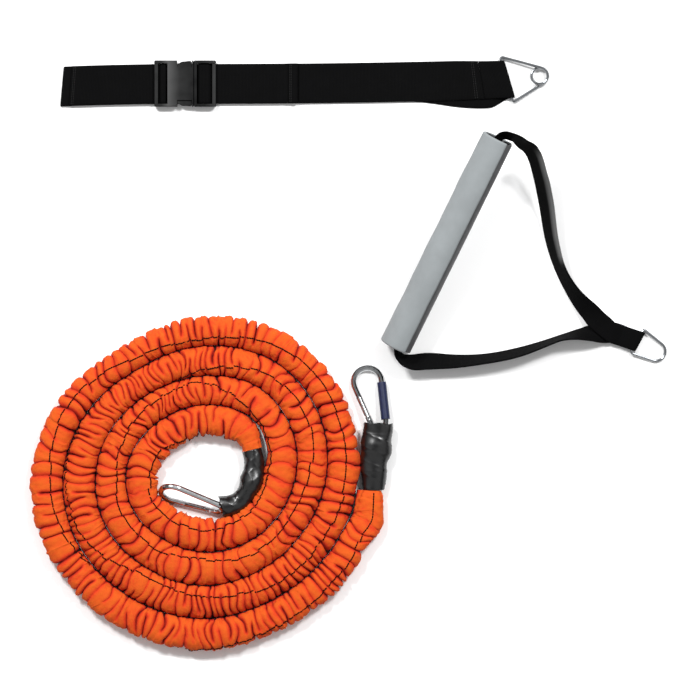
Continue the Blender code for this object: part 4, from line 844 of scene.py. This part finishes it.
STITCH_WIDTH = 0.0019
SEAM_START, SEAM_END = 0.004, 0.020  # the seam's distances from the sleeve's two ends
SEAM_REACH, SEAM_TURN = 0.0010, 0.08  # along and round the cloth, to find how a stitch lies
SEAM_HEIGHT = 0.003  # stitches lower than this are out of sight
CLOTH_ROUND = 0.105
PATH_STEP, BORE_STEP = 0.008, 0.011
ELASTIC_STEP, ELASTIC_INSET = 0.004, 0.012
CRIMP_SHARE, CRIMP_RUN = 0.62, 0.0045 + 0.0030  # where the elastic ends in a shrunk end


class TrainerCord(bpy.types.Operator):
    """Make the ruched sleeve with its seam, and the elastic inside it."""

    bl_idname = "trainer.cord"
    bl_label = "Sleeved elastic cord"

    def execute(self, context):
        settings = context.scene.trainer_cord
        route = SleeveRoute()
        ruching = Ruching(route, settings)
        sleeve = self.sleeve(settings, route, ruching)
        seam = self.seam(settings, route, ruching)
        elastic_path = self.elastic(settings, route)
        middle = route.middle(np.linspace(0, route.length, round(route.length / PATH_STEP) + 1))
        tuple(elastic_path[1])
        return {"FINISHED"}

    def sleeve(self, settings, route, ruching):
        """The cloth outside, its plain inner wall and its two gathered ends, as one closed skin."""
        even = np.linspace(0, math.tau, settings.sides, endpoint=False)
        phi = even - 0.16 * np.sin(2 * even) + 0.20 * np.cos(even)  # closer together on top
        low, share = (
            np.repeat(held[:, None], settings.sides, 1)
            for held in ruching.rings(settings.ring_step)
        )
        grid_phi = np.repeat(phi[None], len(low), 0)
        grid_s = ruching.along(low, share, grid_phi)
        outer, fold = sleeve_surface(route, ruching, grid_s, grid_phi, low, share)
        inner_s = np.linspace(route.length, 0, round(route.length / BORE_STEP))
        inner = route.middle(inner_s)[:, None] + (
            route.side(inner_s)[:, None] * (BORE_HALF_WIDTH * np.cos(phi))[None, :, None]
        )
        inner[..., 2] += (BORE_HALF_HEIGHT * np.sin(phi))[None]
        s = grid_s.mean(axis=1)
        # the inner wall is marked fully shaded, painted near black like the cloth low between turns
        made = skin(
            "sleeve_cloth", np.concatenate([outer, inner, outer[:1]]),
            np.concatenate([s, inner_s, s[:1]]), phi / math.tau * CLOTH_ROUND,
            {"fold": np.concatenate([fold, np.ones(inner.shape[:2]), fold[:1]])}, closed=False,
        )
        return place_piece(made, "cord", "orange_fabric", cloth_finish(settings), "cord_sleeve")

    def seam(self, settings, route, ruching):
        thread = Finish("seam_thread", settings.thread, 0.9, Specular_IOR_Level=0.05)
        s = np.arange(SEAM_START, route.length - SEAM_END, settings.stitch_pitch)
        phi = np.radians(route.at(s, route.seam))
        phi += ruching.step[ruching.find(s, phi)[0]] * (s > FOLDS_START)
        ahead, behind, places, aside = (
            sleeve_surface(route, ruching, s + more, phi + turn)[0]
            for more, turn in ((SEAM_REACH, 0), (-SEAM_REACH, 0), (0, 0), (0, SEAM_TURN))
        )
        heads = ahead - behind
        ups = np.cross(heads, aside - places)
        outward = places - route.middle(s)
        ups = np.where(np.sum(ups * outward, axis=1)[:, None] < 0, -ups, ups)
        shown = places[:, 2] > SEAM_HEIGHT
        return stitches(
            "seam_stitches", places[shown], heads[shown], ups[shown], settings.stitch,
            STITCH_WIDTH, thread, "cord", "orange_fabric",
        )

    def elastic(self, settings, route):
        latex = Finish("latex", (0.10, 0.10, 0.10), 0.5)
        latex.bump(latex.noise(500.0), 0.3, 0.0002)
        outer, inner = (
            evenly(smooth_line(end, 3)[::way, :3] + SHIFT, ELASTIC_STEP)
            for end, way in ((OUTER_END, -1), (INNER_END, 1))
        )
        outer, inner = (
            fine[run < run[-1] * CRIMP_SHARE + CRIMP_RUN] for fine, run in (outer, inner)
        )
        last, count = route.length - ELASTIC_INSET, round(route.length / ELASTIC_INSET)
        middle = route.middle(np.linspace(ELASTIC_INSET, last, count))
        line = np.concatenate([outer[::-1], middle, inner])
        curve = bpy.data.curves.new("elastic", "CURVE")
        curve.dimensions = "3D"
        curve.bevel_depth = settings.elastic / 2
        curve.bevel_resolution = 3
        curve.use_fill_caps = True
        points = curve.splines.new("POLY").points
        points.add(len(line) - 1)
        points.foreach_set("co", np.column_stack([line, np.ones(len(line))]).reshape(-1))
        made = bpy.data.objects.new("elastic", curve)
        return place_piece(made, "cord", "latex", latex, "elastic_cord"), tuple(line[0])


SHRUNK_STEP, SHRUNK_SIDES = 0.0007, 56  # between a shrunk end's rings, and the points of a ring
SHRUNK_MOUTH = 0.0090  # run over which its hook end is gathered
SHRUNK_LIP, SHRUNK_LIP_DEPTH = 0.0012, 0.0022


class TrainerCordEnds(bpy.types.Operator):
    """Make the shrunk tubes over the cord's two ends, and finish the crimps inside them."""

    bl_idname = "trainer.cord_ends"
    bl_label = "Shrunk ends"

    def execute(self, context):
        shrink = shrink_finish(context.scene.trainer_cord.shrink)
        self.shrunk("outer", OUTER_END, shrink, 3, 0.72, 1.07, 0.27)
        self.shrunk("inner", INNER_END, shrink, 8, 0.95, 1.02, 0.21)
        wire = steel_finish("crimp_steel", (0.60, 0.60, 0.62), 0.3, 900.0)
        dress(wire, "outer_end_crimp", "inner_end_crimp")
        return {"FINISHED"}

    def shrunk(self, end, route, finish, seed, flat, full, uneven):
        """A wrinkled tube: pulled tight over what is inside it, its hook end cut at a slant.

        flat is its height over its width, full its mean width over the route's, and uneven the
        share of that which its wrinkles take."""
        chance = np.random.default_rng(seed)
        hook_first = end == "outer"
        rows, run = evenly(smooth_line(route, 8), SHRUNK_STEP)
        middle = rows[:, :3] + SHIFT
        heads = unit(np.gradient(middle, axis=0))
        sides = unit(np.cross(heads, UP))
        ups = np.cross(sides, heads)
        phi = np.linspace(0, math.tau, SHRUNK_SIDES, endpoint=False)
        s, angle = np.meshgrid(run, phi, indexing="ij")
        from_hook = s if hook_first else run[-1] - s
        wrinkle = np.zeros_like(s)
        for number in range(9):
            wave = math.tau / chance.uniform(0.022, 0.055)
            turns = int(chance.integers(0, 4)) * (1 if chance.random() < 0.5 else -1)
            line = np.sin(wave * s + turns * angle + chance.uniform(0, math.tau))
            ridge = 1.2 * (1 - np.abs(line)) ** 3
            wrinkle += chance.uniform(0.5, 1.0) * (line if number < 6 else ridge) / 9
        mouth = smooth_step((SHRUNK_MOUTH - from_hook) / SHRUNK_MOUTH)
        pleats = np.cos(7 * angle + chance.uniform(0, 6)) + 0.6 * np.cos(11 * angle + 2.0)
        radius = rows[:, 3:] * (full + uneven * wrinkle - 0.035 * mouth * (1 + pleats / 2))
        across = np.cos(angle)[..., None] * sides[:, None]
        height = np.sin(angle)[..., None] * ups[:, None] * flat
        places = middle[:, None] + (across + height) * radius[..., None]
        slant = (0.0016 * np.cos(phi + 0.5) + 0.0007 * np.cos(5 * phi + 1.0)) * mouth
        places += heads[:, None] * slant[..., None]
        places[..., 2] = np.maximum(places[..., 2], 0.0004)
        row, way = (0, 1) if hook_first else (-1, -1)
        rim = places[row]
        inward = unit(middle[row] - rim) * SHRUNK_LIP
        lips = np.stack([rim + inward, rim + 1.8 * inward + way * SHRUNK_LIP_DEPTH * heads[row]])
        places = np.concatenate([lips[::-1], places] if hook_first else [places, lips])
        along = np.arange(len(places)) * SHRUNK_STEP
        made = skin(f"{end}_shrunk_tube", places, along, phi / math.tau * 0.09)
        place_piece(made, "cord", "shrink_black", finish, f"{end}_end_cap")


class TrainerHooks(bpy.types.Operator):
    """Finish the two snap hooks, their gates, rivets and springs, and the plain spine sleeve."""

    bl_idname = "trainer.hooks"
    bl_label = "Snap hooks"

    def execute(self, context):
        steel = steel_finish("hook_steel", context.scene.trainer_handle.steel, 0.12, 700.0)
        wire = steel_finish("spring_wire", (0.55, 0.55, 0.56), 0.30, 900.0)
        for end in ("outer", "inner"):
            dress(steel, f"{end}_hook", f"{end}_gate", f"{end}_gate_rivet")
            dress(wire, f"{end}_gate_spring")
        vinyl = Finish("navy_vinyl", (0.006, 0.010, 0.040), 0.45, Specular_IOR_Level=0.25)
        vinyl.cloud(260.0, 4.0, (0.0045, 0.0075, 0.032), (0.009, 0.014, 0.054))
        vinyl.bump(vinyl.noise(500.0), 0.3, 0.0002)
        dress(vinyl, "hook_spine_sleeve")
        return {"FINISHED"}


# Webbing of the belt and the handle

# Half of a tape's section: shares of its half width, with the shares of its half thickness there
TAPE_SECTION = (
    (0.0, 0.95), (0.26, 0.97), (0.52, 0.95), (0.78, 1.0), (0.93, 0.84), (0.985, 0.50), (1.0, 0.0),
)
BELT = (-0.2040, 0.2455, 0.0)  # middle of the belt's own layout
BELT_HALF_WIDTH = 0.0240
BELT_THICKNESS = 0.0018
LAYER_PITCH = 0.0021
RIGHT_RUN, LEFT_RUN = 0.3760, 0.1585  # how far the belt lies from there, towards ring and fold
RIGHT_RISE, LEFT_DROP = 0.0055, 0.0030
RIGHT_SLANT, LEFT_SLANT = 0.29, 0.0875
SLANT_RUN, NARROWING = 0.0700, 0.07  # at the ring
BACK_DIP = 0.0110  # how far the back run comes out beside the front one
DIP_START, DIP_RUN = 0.2560, 0.0940
DIP_END, DIP_END_RUN = 0.3500, 0.0260
WRAP_INSET, WRAP_RADIUS = 0.0045, 0.0030  # webbing round a buckle's bar
SLOPE_INSET, SLOPE_RUN = 0.0010, 0.0033
SOCKET = (-0.0312, -0.0428)  # edges of each half's well and of its outer end
PLUG = (0.0039, 0.0226)
FOLD_END, SEWN_END = -0.1576, -0.1480  # of the doubled run on the left
FRONT_RUN = (0.0393, 0.3457)
RING_FOLD = 0.00325
TAIL_START, TAIL_END, HEM_END = 0.0390, 0.1240, 0.1140
PATH_FINENESS = 0.0008
ROW_RISE, ROW_REACH = 0.00095, 0.0215  # of a row of stitches, above and across the webbing
THREAD_LENGTH, THREAD_WIDTH = 0.0024, 0.0007


def tape(name, rows, thickness, step):
    """Woven tape on rows of middle, half width vector and up vector, with rounded selvedges.

    A tenth column says how much greyer its one side is."""
    line, run = evenly(np.array(rows), step)
    middle, half, up = line[:, :3], line[:, 3:6], unit(line[:, 6:9])
    share, swell = np.array(TAPE_SECTION).T
    share, swell = np.append(-share[:0:-1], share), np.append(swell[:0:-1], swell)
    across = np.append(share, share[-2:0:-1])
    rise = np.append(swell, -swell[-2:0:-1]) * thickness / 2
    wave = 1 - 0.004 * (1 + np.sin(run[:, None] * 2100.0 + np.sign(across) * 1.3)) / 2
    places = middle[:, None] + half[:, None] * (across * wave)[..., None]
    places += up[:, None] * rise[:, None]
    width = np.linalg.norm(half[0])
    around = across * width + np.where(rise < 0, 4 * width, 0.0)
    marks = None
    if line.shape[1] > 9:
        marks = {"grey_side": line[:, 9:] * smooth_step((across - 0.38) / 0.24)}
    return skin(name, places, run, around, marks)


def layer(number):
    """Height of the middle of a layer of the belt's webbing."""
    return BELT_THICKNESS / 2 + number * LAYER_PITCH


def lay_front(x, y):
    """Where a place of the belt's straight layout lies: it bows, and slants at both ends."""
    right, left = max(x, 0.0) / RIGHT_RUN, max(-x, 0.0) / LEFT_RUN
    near_ring = float(smooth_step((x - RIGHT_RUN + SLANT_RUN) / SLANT_RUN))
    y *= 1 - NARROWING * near_ring
    slant = LEFT_SLANT * left ** 2 - RIGHT_SLANT * near_ring
    return x + slant * y, y + RIGHT_RISE * right ** 2 - LEFT_DROP * left ** 2


def lay_back(x, y):
    laid_x, laid_y = lay_front(x, y)
    rise = float(smooth_step((x - DIP_START) / DIP_RUN))
    fall = float(smooth_step((x - DIP_END) / DIP_END_RUN))
    return laid_x, laid_y - BACK_DIP * rise * (1 - fall)


def arc(centre, radius, start, end, steps):
    angles = [math.radians(start + (end - start) * step / steps) for step in range(steps + 1)]
    return [(centre[0] + radius * math.cos(a), centre[1] + radius * math.sin(a)) for a in angles]


def wrap_path(side, well_edge, outer_edge, strand_end, tail_end):
    """Side view of webbing round a buckle's middle bar, from its load strand to its return."""
    centre = (well_edge + side * WRAP_INSET, layer(1) + WRAP_RADIUS)
    slope_end = outer_edge - side * SLOPE_INSET
    turn = arc(centre, WRAP_RADIUS, -90.0, -270.0 if side > 0 else 90.0, 10)
    return [(strand_end, layer(1)), *turn] + [
        (slope_end - side * SLOPE_RUN, layer(1) + 2 * WRAP_RADIUS), (slope_end, layer(2)),
        (tail_end, layer(2)),
    ]


def belt_rows(path, back):
    """Rows of a belt tape from its side-view path of x and z, its corners a little eased."""
    path, _ = evenly(np.array(path), PATH_FINENESS)
    for _ in range(2):
        path[1:-1] = (path[:-2] + 2 * path[1:-1] + path[2:]) / 4
    rows = []
    for (x, z), (head_x, head_z) in zip(path, unit(np.gradient(path, axis=0))):
        lay = lay_back if back and z < layer(0) + LAYER_PITCH / 2 else lay_front
        low, high = (np.array((*lay(x, y), z)) for y in (-BELT_HALF_WIDTH, BELT_HALF_WIDTH))
        middle = (low + high) / 2 + SHIFT + BELT
        rows.append((*middle, *((high - low) / 2), -head_z, 0.0, head_x))
    return rows


class TrainerBelt(bpy.types.Operator):
    """Make the belt's three runs of webbing with their sewn ends."""

    bl_idname = "trainer.belt"
    bl_label = "Waist belt webbing"

    def execute(self, context):
        settings = context.scene.trainer_belt
        black = webbing_finish("belt_black", settings.black, settings.rib)
        thread = Finish("black_thread", scaled(settings.black, 1.8), 0.6)

        def webbing(piece, body, node_name, path, back=False):
            made = tape(piece, belt_rows(path, back), BELT_THICKNESS, settings.row_step)
            return place_piece(made, body, "black_webbing", black, node_name)

        half = LAYER_PITCH / 2
        left = wrap_path(-1, *SOCKET, FOLD_END, SEWN_END)[::-1][:-1]
        fold = arc((FOLD_END, layer(0) + half), half, 90.0, 270.0, 8)
        back = [(DIP_START + 0.0100 * step, layer(0)) for step in range(12)]
        top = layer(0) + 2 * RING_FOLD
        ring_fold = arc((RIGHT_RUN, layer(0) + RING_FOLD), RING_FOLD, -90.0, 90.0, 14)
        down = [
            (RIGHT_RUN - 0.0300 * share, layer(1) + (top - layer(1)) * rise)
            for share, rise in ((0.3, 0.72), (0.6, 0.22), (0.85, 0.0), (1.0, 0.0))
        ]
        path = left + fold + back + ring_fold + down
        webbing("belt_long_tape", "belt", "belt_webbing", path, True)
        front = [(x, layer(1)) for x in FRONT_RUN]
        front_tape = webbing("belt_front_tape", None, "belt_front_webbing", front)
        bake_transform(front_tape)
        hem = arc((TAIL_END, layer(2) + half), half, -90.0, 90.0, 8) + [(HEM_END, layer(3))]
        tail = wrap_path(1, *PLUG, TAIL_START, TAIL_END)[:-1] + hem
        webbing("belt_tail_tape", "plug", "belt_tail_webbing", tail)
        for name, runs, number, body in (
            ("belt_ring_stitches", (0.3360, 0.3385), 1, "belt"),
            ("belt_hem_stitches", (0.1155, 0.1172), 3, "plug"),
            ("belt_end_stitches", (-0.1455, -0.1435), 2, "belt"),
        ):
            self.stitch_across(name, runs, layer(number) + ROW_RISE, thread, body)
        return {"FINISHED"}

    def stitch_across(self, name, runs, height, thread, body):
        """Lines of stitches straight across the webbing."""
        places, heads = [], []
        for x in runs:
            start, end = (np.array((*lay_front(x, y), height)) for y in (-ROW_REACH, ROW_REACH))
            for share in np.linspace(0, 1, 16):
                places.append(start + (end - start) * share + SHIFT + BELT)
                heads.append(end - start)
        stitches(
            name, places, heads, [UP] * len(places), THREAD_LENGTH, THREAD_WIDTH, thread, body,
            "black_webbing",
        )


# Painted sheen on the buckle: how much grey is added to its colour at places along X
PAINTED_SHEEN = (
    (-0.2515, 0.010), (-0.2420, 0.008), (-0.2340, 0.048), (-0.2200, 0.007), (-0.2090, 0.0),
    (-0.1900, 0.0), (-0.1765, 0.016),
)


class TrainerBuckle(bpy.types.Operator):
    """Finish the buckle's two halves and its spring arms."""

    bl_idname = "trainer.buckle"
    bl_label = "Buckle"

    def execute(self, context):
        plastic = moulded_finish(
            "buckle_moulding", context.scene.trainer_belt.buckle, 0.45, 900.0, PAINTED_SHEEN,
            Specular_IOR_Level=0.10,
        )
        dress(plastic, "buckle_socket", "buckle_plug", "buckle_arm_upper", "buckle_arm_lower")
        return {"FINISHED"}


class TrainerRings(bpy.types.Operator):
    """Finish the belt's sprung ring and the handle's ring."""

    bl_idname = "trainer.rings"
    bl_label = "Rings"

    def execute(self, context):
        steel = steel_finish("ring_steel", context.scene.trainer_handle.ring, 0.16, 600.0)
        dress(steel, "belt_ring", "handle_ring")
        return {"FINISHED"}


# Handle: the strap's route, as the frame has it


def bearing(degrees):
    """Level direction at an angle from +X."""
    return np.array((math.cos(math.radians(degrees)), math.sin(math.radians(degrees)), 0.0))


HANDLE = np.array((0.0406, -0.0724, 0.0))
JOIN = np.array((0.2582, 0.0174, 0.0))  # where the strap's two strands are sewn together
JOIN_TURN, BAR_SKEW = -18.5, -10.0
JOIN_LENGTH = 0.0323
JOIN_HEAD, JOIN_SIDE = bearing(JOIN_TURN), bearing(JOIN_TURN + 90.0)
GRIP_TURN, GRIP_RISE = math.radians(26.1), math.radians(10.0)
GRIP_HEAD = np.array((
    math.sin(GRIP_TURN) * math.cos(GRIP_RISE), math.cos(GRIP_TURN) * math.cos(GRIP_RISE),
    math.sin(GRIP_RISE),
))
GRIP_LENGTH = 0.2790
GRIP_RADIUS, FOAM_BORE, CORE_BORE = 0.0215, 0.0175, 0.0156
GRIP_BOTTOM = np.array((0.0, 0.0, GRIP_RADIUS * math.cos(GRIP_RISE)))
STRAP_WIDTH, STRAP_THICKNESS = 0.0250, 0.0020
STRAP_FOLD = 0.00335  # radius of its fold round the ring
STRAP_RIB, STRAP_STEP = 0.0015, 0.0014
SEWN_HEIGHT = 0.0033  # of the lower strand's sewn end
SEAT_GAP = 0.0003
# Shares of the way from the grip's top to the join, across and along, then of the strap's width
# for the height, then the strap's tilt in degrees
UPPER_STRAND = (
    (0.017, -0.012, 2.88, 70.0), (0.055, -0.017, 2.92, 72.0), (0.100, -0.010, 2.92, 72.0),
    (0.150, 0.001, 2.86, 71.0), (0.205, 0.023, 2.62, 62.0),
    (0.274, 0.054, 2.26, 54.0), (0.366, 0.187, 1.60, 50.0), (0.415, 0.307, 1.02, 48.0),
    (0.484, 0.542, 0.58, 56.0), (0.552, 0.673, 0.55, 62.0), (0.685, 0.809, 0.48, 50.0),
    (0.746, 0.854, 0.48, 38.0), (0.808, 0.893, 0.49, 25.0), (0.869, 0.935, 0.47, 8.0),
    (0.930, 0.966, 0.42, 0.0),
)
# The same in shares of the join's distance across
LOWER_STRAND = (
    (0.972, 0.066, 0.172, 6.0), (0.944, 0.065, 0.240, 16.0), (0.916, 0.064, 0.332, 30.0),
    (0.884, 0.061, 0.432, 46.0), (0.833, 0.056, 0.516, 62.0), (0.763, 0.042, 0.550, 74.0),
    (0.689, 0.016, 0.544, 72.0), (0.572, -0.023, 0.528, 64.0), (0.387, -0.058, 0.512, 60.0),
    (0.247, -0.067, 0.464, 47.0), (0.187, -0.066, 0.472, 40.0), (0.131, -0.067, 0.500, 36.0),
    (0.073, -0.071, 0.580, 42.0), (0.031, -0.061, 0.690, 58.0), (0.007, -0.037, 0.780, 70.0),
)
# Share of the grip's length, tilt, and how far the strap is seated on the core's wall
GRIP_STRAND = (
    (0.05, 62.0, 0.0), (0.12, 59.0, 0.0), (0.5, 60.0, 1.0), (0.88, 64.0, 0.0), (0.95, 66.0, 0.0),
)


def tape_side(head, degrees):
    """Direction across a tape that runs along head, tilted from level."""
    level = unit(np.array((-head[1], head[0], 0.0)))
    tilt = math.radians(degrees)
    return level * math.cos(tilt) + np.cross(head, level) * math.sin(tilt)


def strap_rows():
    """Rows of the handle's strap, from the lower strand's sewn end round the grip to the ring."""
    top = GRIP_BOTTOM + GRIP_HEAD * GRIP_LENGTH
    route = [
        (*(JOIN + JOIN_HEAD * JOIN_LENGTH * share)[:2], SEWN_HEIGHT, 0.0) for share in (0.62, 0.0)
    ]
    route += [
        (JOIN[0] * x, JOIN[0] * y, STRAP_WIDTH * z, tilt) for x, y, z, tilt in LOWER_STRAND
    ]
    seat = CORE_BORE * math.cos(math.pi / 36) - math.hypot(STRAP_WIDTH, STRAP_THICKNESS) / 2
    for share, tilt, seated in GRIP_STRAND:
        down = tape_side(GRIP_HEAD, tilt) * (seat - SEAT_GAP) * seated
        route.append((*(GRIP_BOTTOM + GRIP_HEAD * GRIP_LENGTH * share - down), tilt))
    across, along, _ = JOIN - top
    route += [
        (top[0] + across * x, top[1] + along * y, STRAP_WIDTH * z, tilt)
        for x, y, z, tilt in UPPER_STRAND
    ]
    line = smooth_line(route, 6)
    heads = unit(np.gradient(line[:, :3], axis=0))
    middles = [row[:3] for row in line]
    sides = [tape_side(head, row[3]) * STRAP_WIDTH / 2 for head, row in zip(heads, line)]
    bar = bearing(JOIN_TURN + 90.0 + BAR_SKEW)
    full = bar / bar.dot(JOIN_SIDE) * STRAP_WIDTH / 2

    def add(share, z):
        """A row on the way to the ring's bar, its side turning to lie along the bar."""
        turned = smooth_step(share)
        middles.append(JOIN + JOIN_HEAD * JOIN_LENGTH * share + (0, 0, z))
        sides.append(JOIN_SIDE * STRAP_WIDTH / 2 * (1 - turned) + full * turned)

    height = STRAP_THICKNESS / 2 + STRAP_FOLD
    for share, z in (
        (0.0, 0.344 * STRAP_WIDTH), (0.35, 0.252 * STRAP_WIDTH), (0.7, height + STRAP_FOLD),
        (1.0, height + STRAP_FOLD),
    ):
        add(share, z)
    ring = JOIN + JOIN_HEAD * JOIN_LENGTH + (0, 0, height)
    for across, up in arc((0.0, 0.0), STRAP_FOLD, 75.0, -90.0, 11):
        middles.append(ring + JOIN_HEAD * across + (0, 0, up))
        sides.append(full)
    for share in (0.7, 0.35, 0.03):
        add(share, STRAP_THICKNESS / 2)
    middles, sides = np.array(middles), np.array(sides)
    ups = unit(np.cross(np.gradient(middles, axis=0), sides))
    middles += HANDLE
    y = middles[:, 1]
    # a greyer band on one side of the strap, over part of its run
    grey_side = smooth_step((y - 0.022) / 0.015) * smooth_step((0.166 - y) / 0.015)
    return np.column_stack([middles, sides, ups, grey_side])


class TrainerStrap(bpy.types.Operator):
    """Make the handle's strap, from its sewn end round the grip to the ring."""

    bl_idname = "trainer.strap"
    bl_label = "Handle strap"

    def execute(self, context):
        black = webbing_finish("strap_black", context.scene.trainer_belt.black, STRAP_RIB, 0.10)
        made = tape("strap_tape", strap_rows(), STRAP_THICKNESS, STRAP_STEP)
        place_piece(made, "handle", "black_webbing", black, "handle_strap")
        return {"FINISHED"}


SLIT = (38.0, 302.0)  # degrees round the foam from one lip of its slit to the other
EDGE_ROUND, EDGE_TUCK = 0.0018, 0.0010  # how the foam's ends are rounded


class TrainerGrip(bpy.types.Operator):
    """Make the slit foam tube and finish the tube inside it."""

    bl_idname = "trainer.grip"
    bl_label = "Foam grip"

    def execute(self, context):
        settings = context.scene.trainer_handle
        start, end = np.radians(SLIT)
        lip = np.array((0.5, 1.5, 2.5))
        bulge = 0.010 * np.sin(math.pi * lip / 3)
        radius = np.concatenate([
            np.full(60, GRIP_RADIUS), 0.0212 - 0.0012 * lip,
            np.full(50, FOAM_BORE), 0.0176 + 0.0012 * lip,
        ])
        angle = np.concatenate([
            np.linspace(start, end, 60), end + bulge, np.linspace(end, start, 50), start - bulge,
        ])
        edge = np.array((0, 0.0003, 0.0009, 0.0018, 0.0030))
        inside = np.linspace(0.006, GRIP_LENGTH - 0.006, 110)
        z = np.concatenate([edge, inside, GRIP_LENGTH - edge[::-1]])
        tuck = EDGE_TUCK * np.maximum(0, 1 - np.minimum(z, GRIP_LENGTH - z) / EDGE_ROUND) ** 2
        wave = 0.00022 * np.sin(z * 61.0 + 0.7) + 0.00016 * np.sin(z * 143.0 + 2.0)
        outer, inner = wave - tuck - 0.0002, tuck * 0.3
        r = radius + np.where(radius > 0.0196, outer[:, None], inner[:, None])
        side = unit(np.cross(UP, GRIP_HEAD))
        across, up = ((r * turn(angle))[..., None] for turn in (np.cos, np.sin))
        along = HANDLE + GRIP_BOTTOM + GRIP_HEAD * z[:, None, None]
        places = along - side * across - np.cross(GRIP_HEAD, side) * up
        made = skin("foam_tube", places, z, angle * 0.02)
        place_piece(made, "grip", "grey_foam", foam_finish(settings.foam), "foam_grip")
        dress(moulded_finish("core_plastic", settings.core, 0.55, 500.0), "grip_core")
        return {"FINISHED"}


class TrainerPanel(bpy.types.Panel):
    """Lists the trainer's pieces and their settings."""

    bl_idname = "TRAINER_PT_pieces"
    bl_label = "Resistance Sprint Trainer"
    bl_space_type = "VIEW_3D"
    bl_region_type = "UI"
    bl_category = "Trainer"

    def draw(self, context):
        for operator in PIECES:
            self.layout.operator(operator.bl_idname)
        for group in GROUPS:
            box = self.layout.box()
            box.label(text=group.__doc__)
            for name in group.__annotations__:
                box.prop(getattr(context.scene, GROUPS[group]), name)


GROUPS = {
    TrainerStageSettings: "trainer_stage",
    TrainerCordSettings: "trainer_cord",
    TrainerBeltSettings: "trainer_belt",
    TrainerHandleSettings: "trainer_handle",
}
PIECES = (
    TrainerStage, TrainerCord, TrainerCordEnds, TrainerHooks, TrainerBelt, TrainerBuckle,
    TrainerRings, TrainerStrap, TrainerGrip,
)


def register():
    for group, name in GROUPS.items():
        bpy.utils.register_class(group)
        setattr(bpy.types.Scene, name, PointerProperty(type=group))
    for made in (*PIECES, TrainerPanel):
        bpy.utils.register_class(made)


def unregister():
    for made in (TrainerPanel, *reversed(PIECES)):
        bpy.utils.unregister_class(made)
    for group, name in GROUPS.items():
        delattr(bpy.types.Scene, name)
        bpy.utils.unregister_class(group)


def main():
    register()
    bpy.ops.trainer.stage()
    bpy.ops.trainer.cord()
    bpy.ops.trainer.cord_ends()
    bpy.ops.trainer.hooks()
    bpy.ops.trainer.belt()
    bpy.ops.trainer.buckle()
    bpy.ops.trainer.rings()
    bpy.ops.trainer.strap()
    bpy.ops.trainer.grip()


if __name__ == "__main__":
    main()
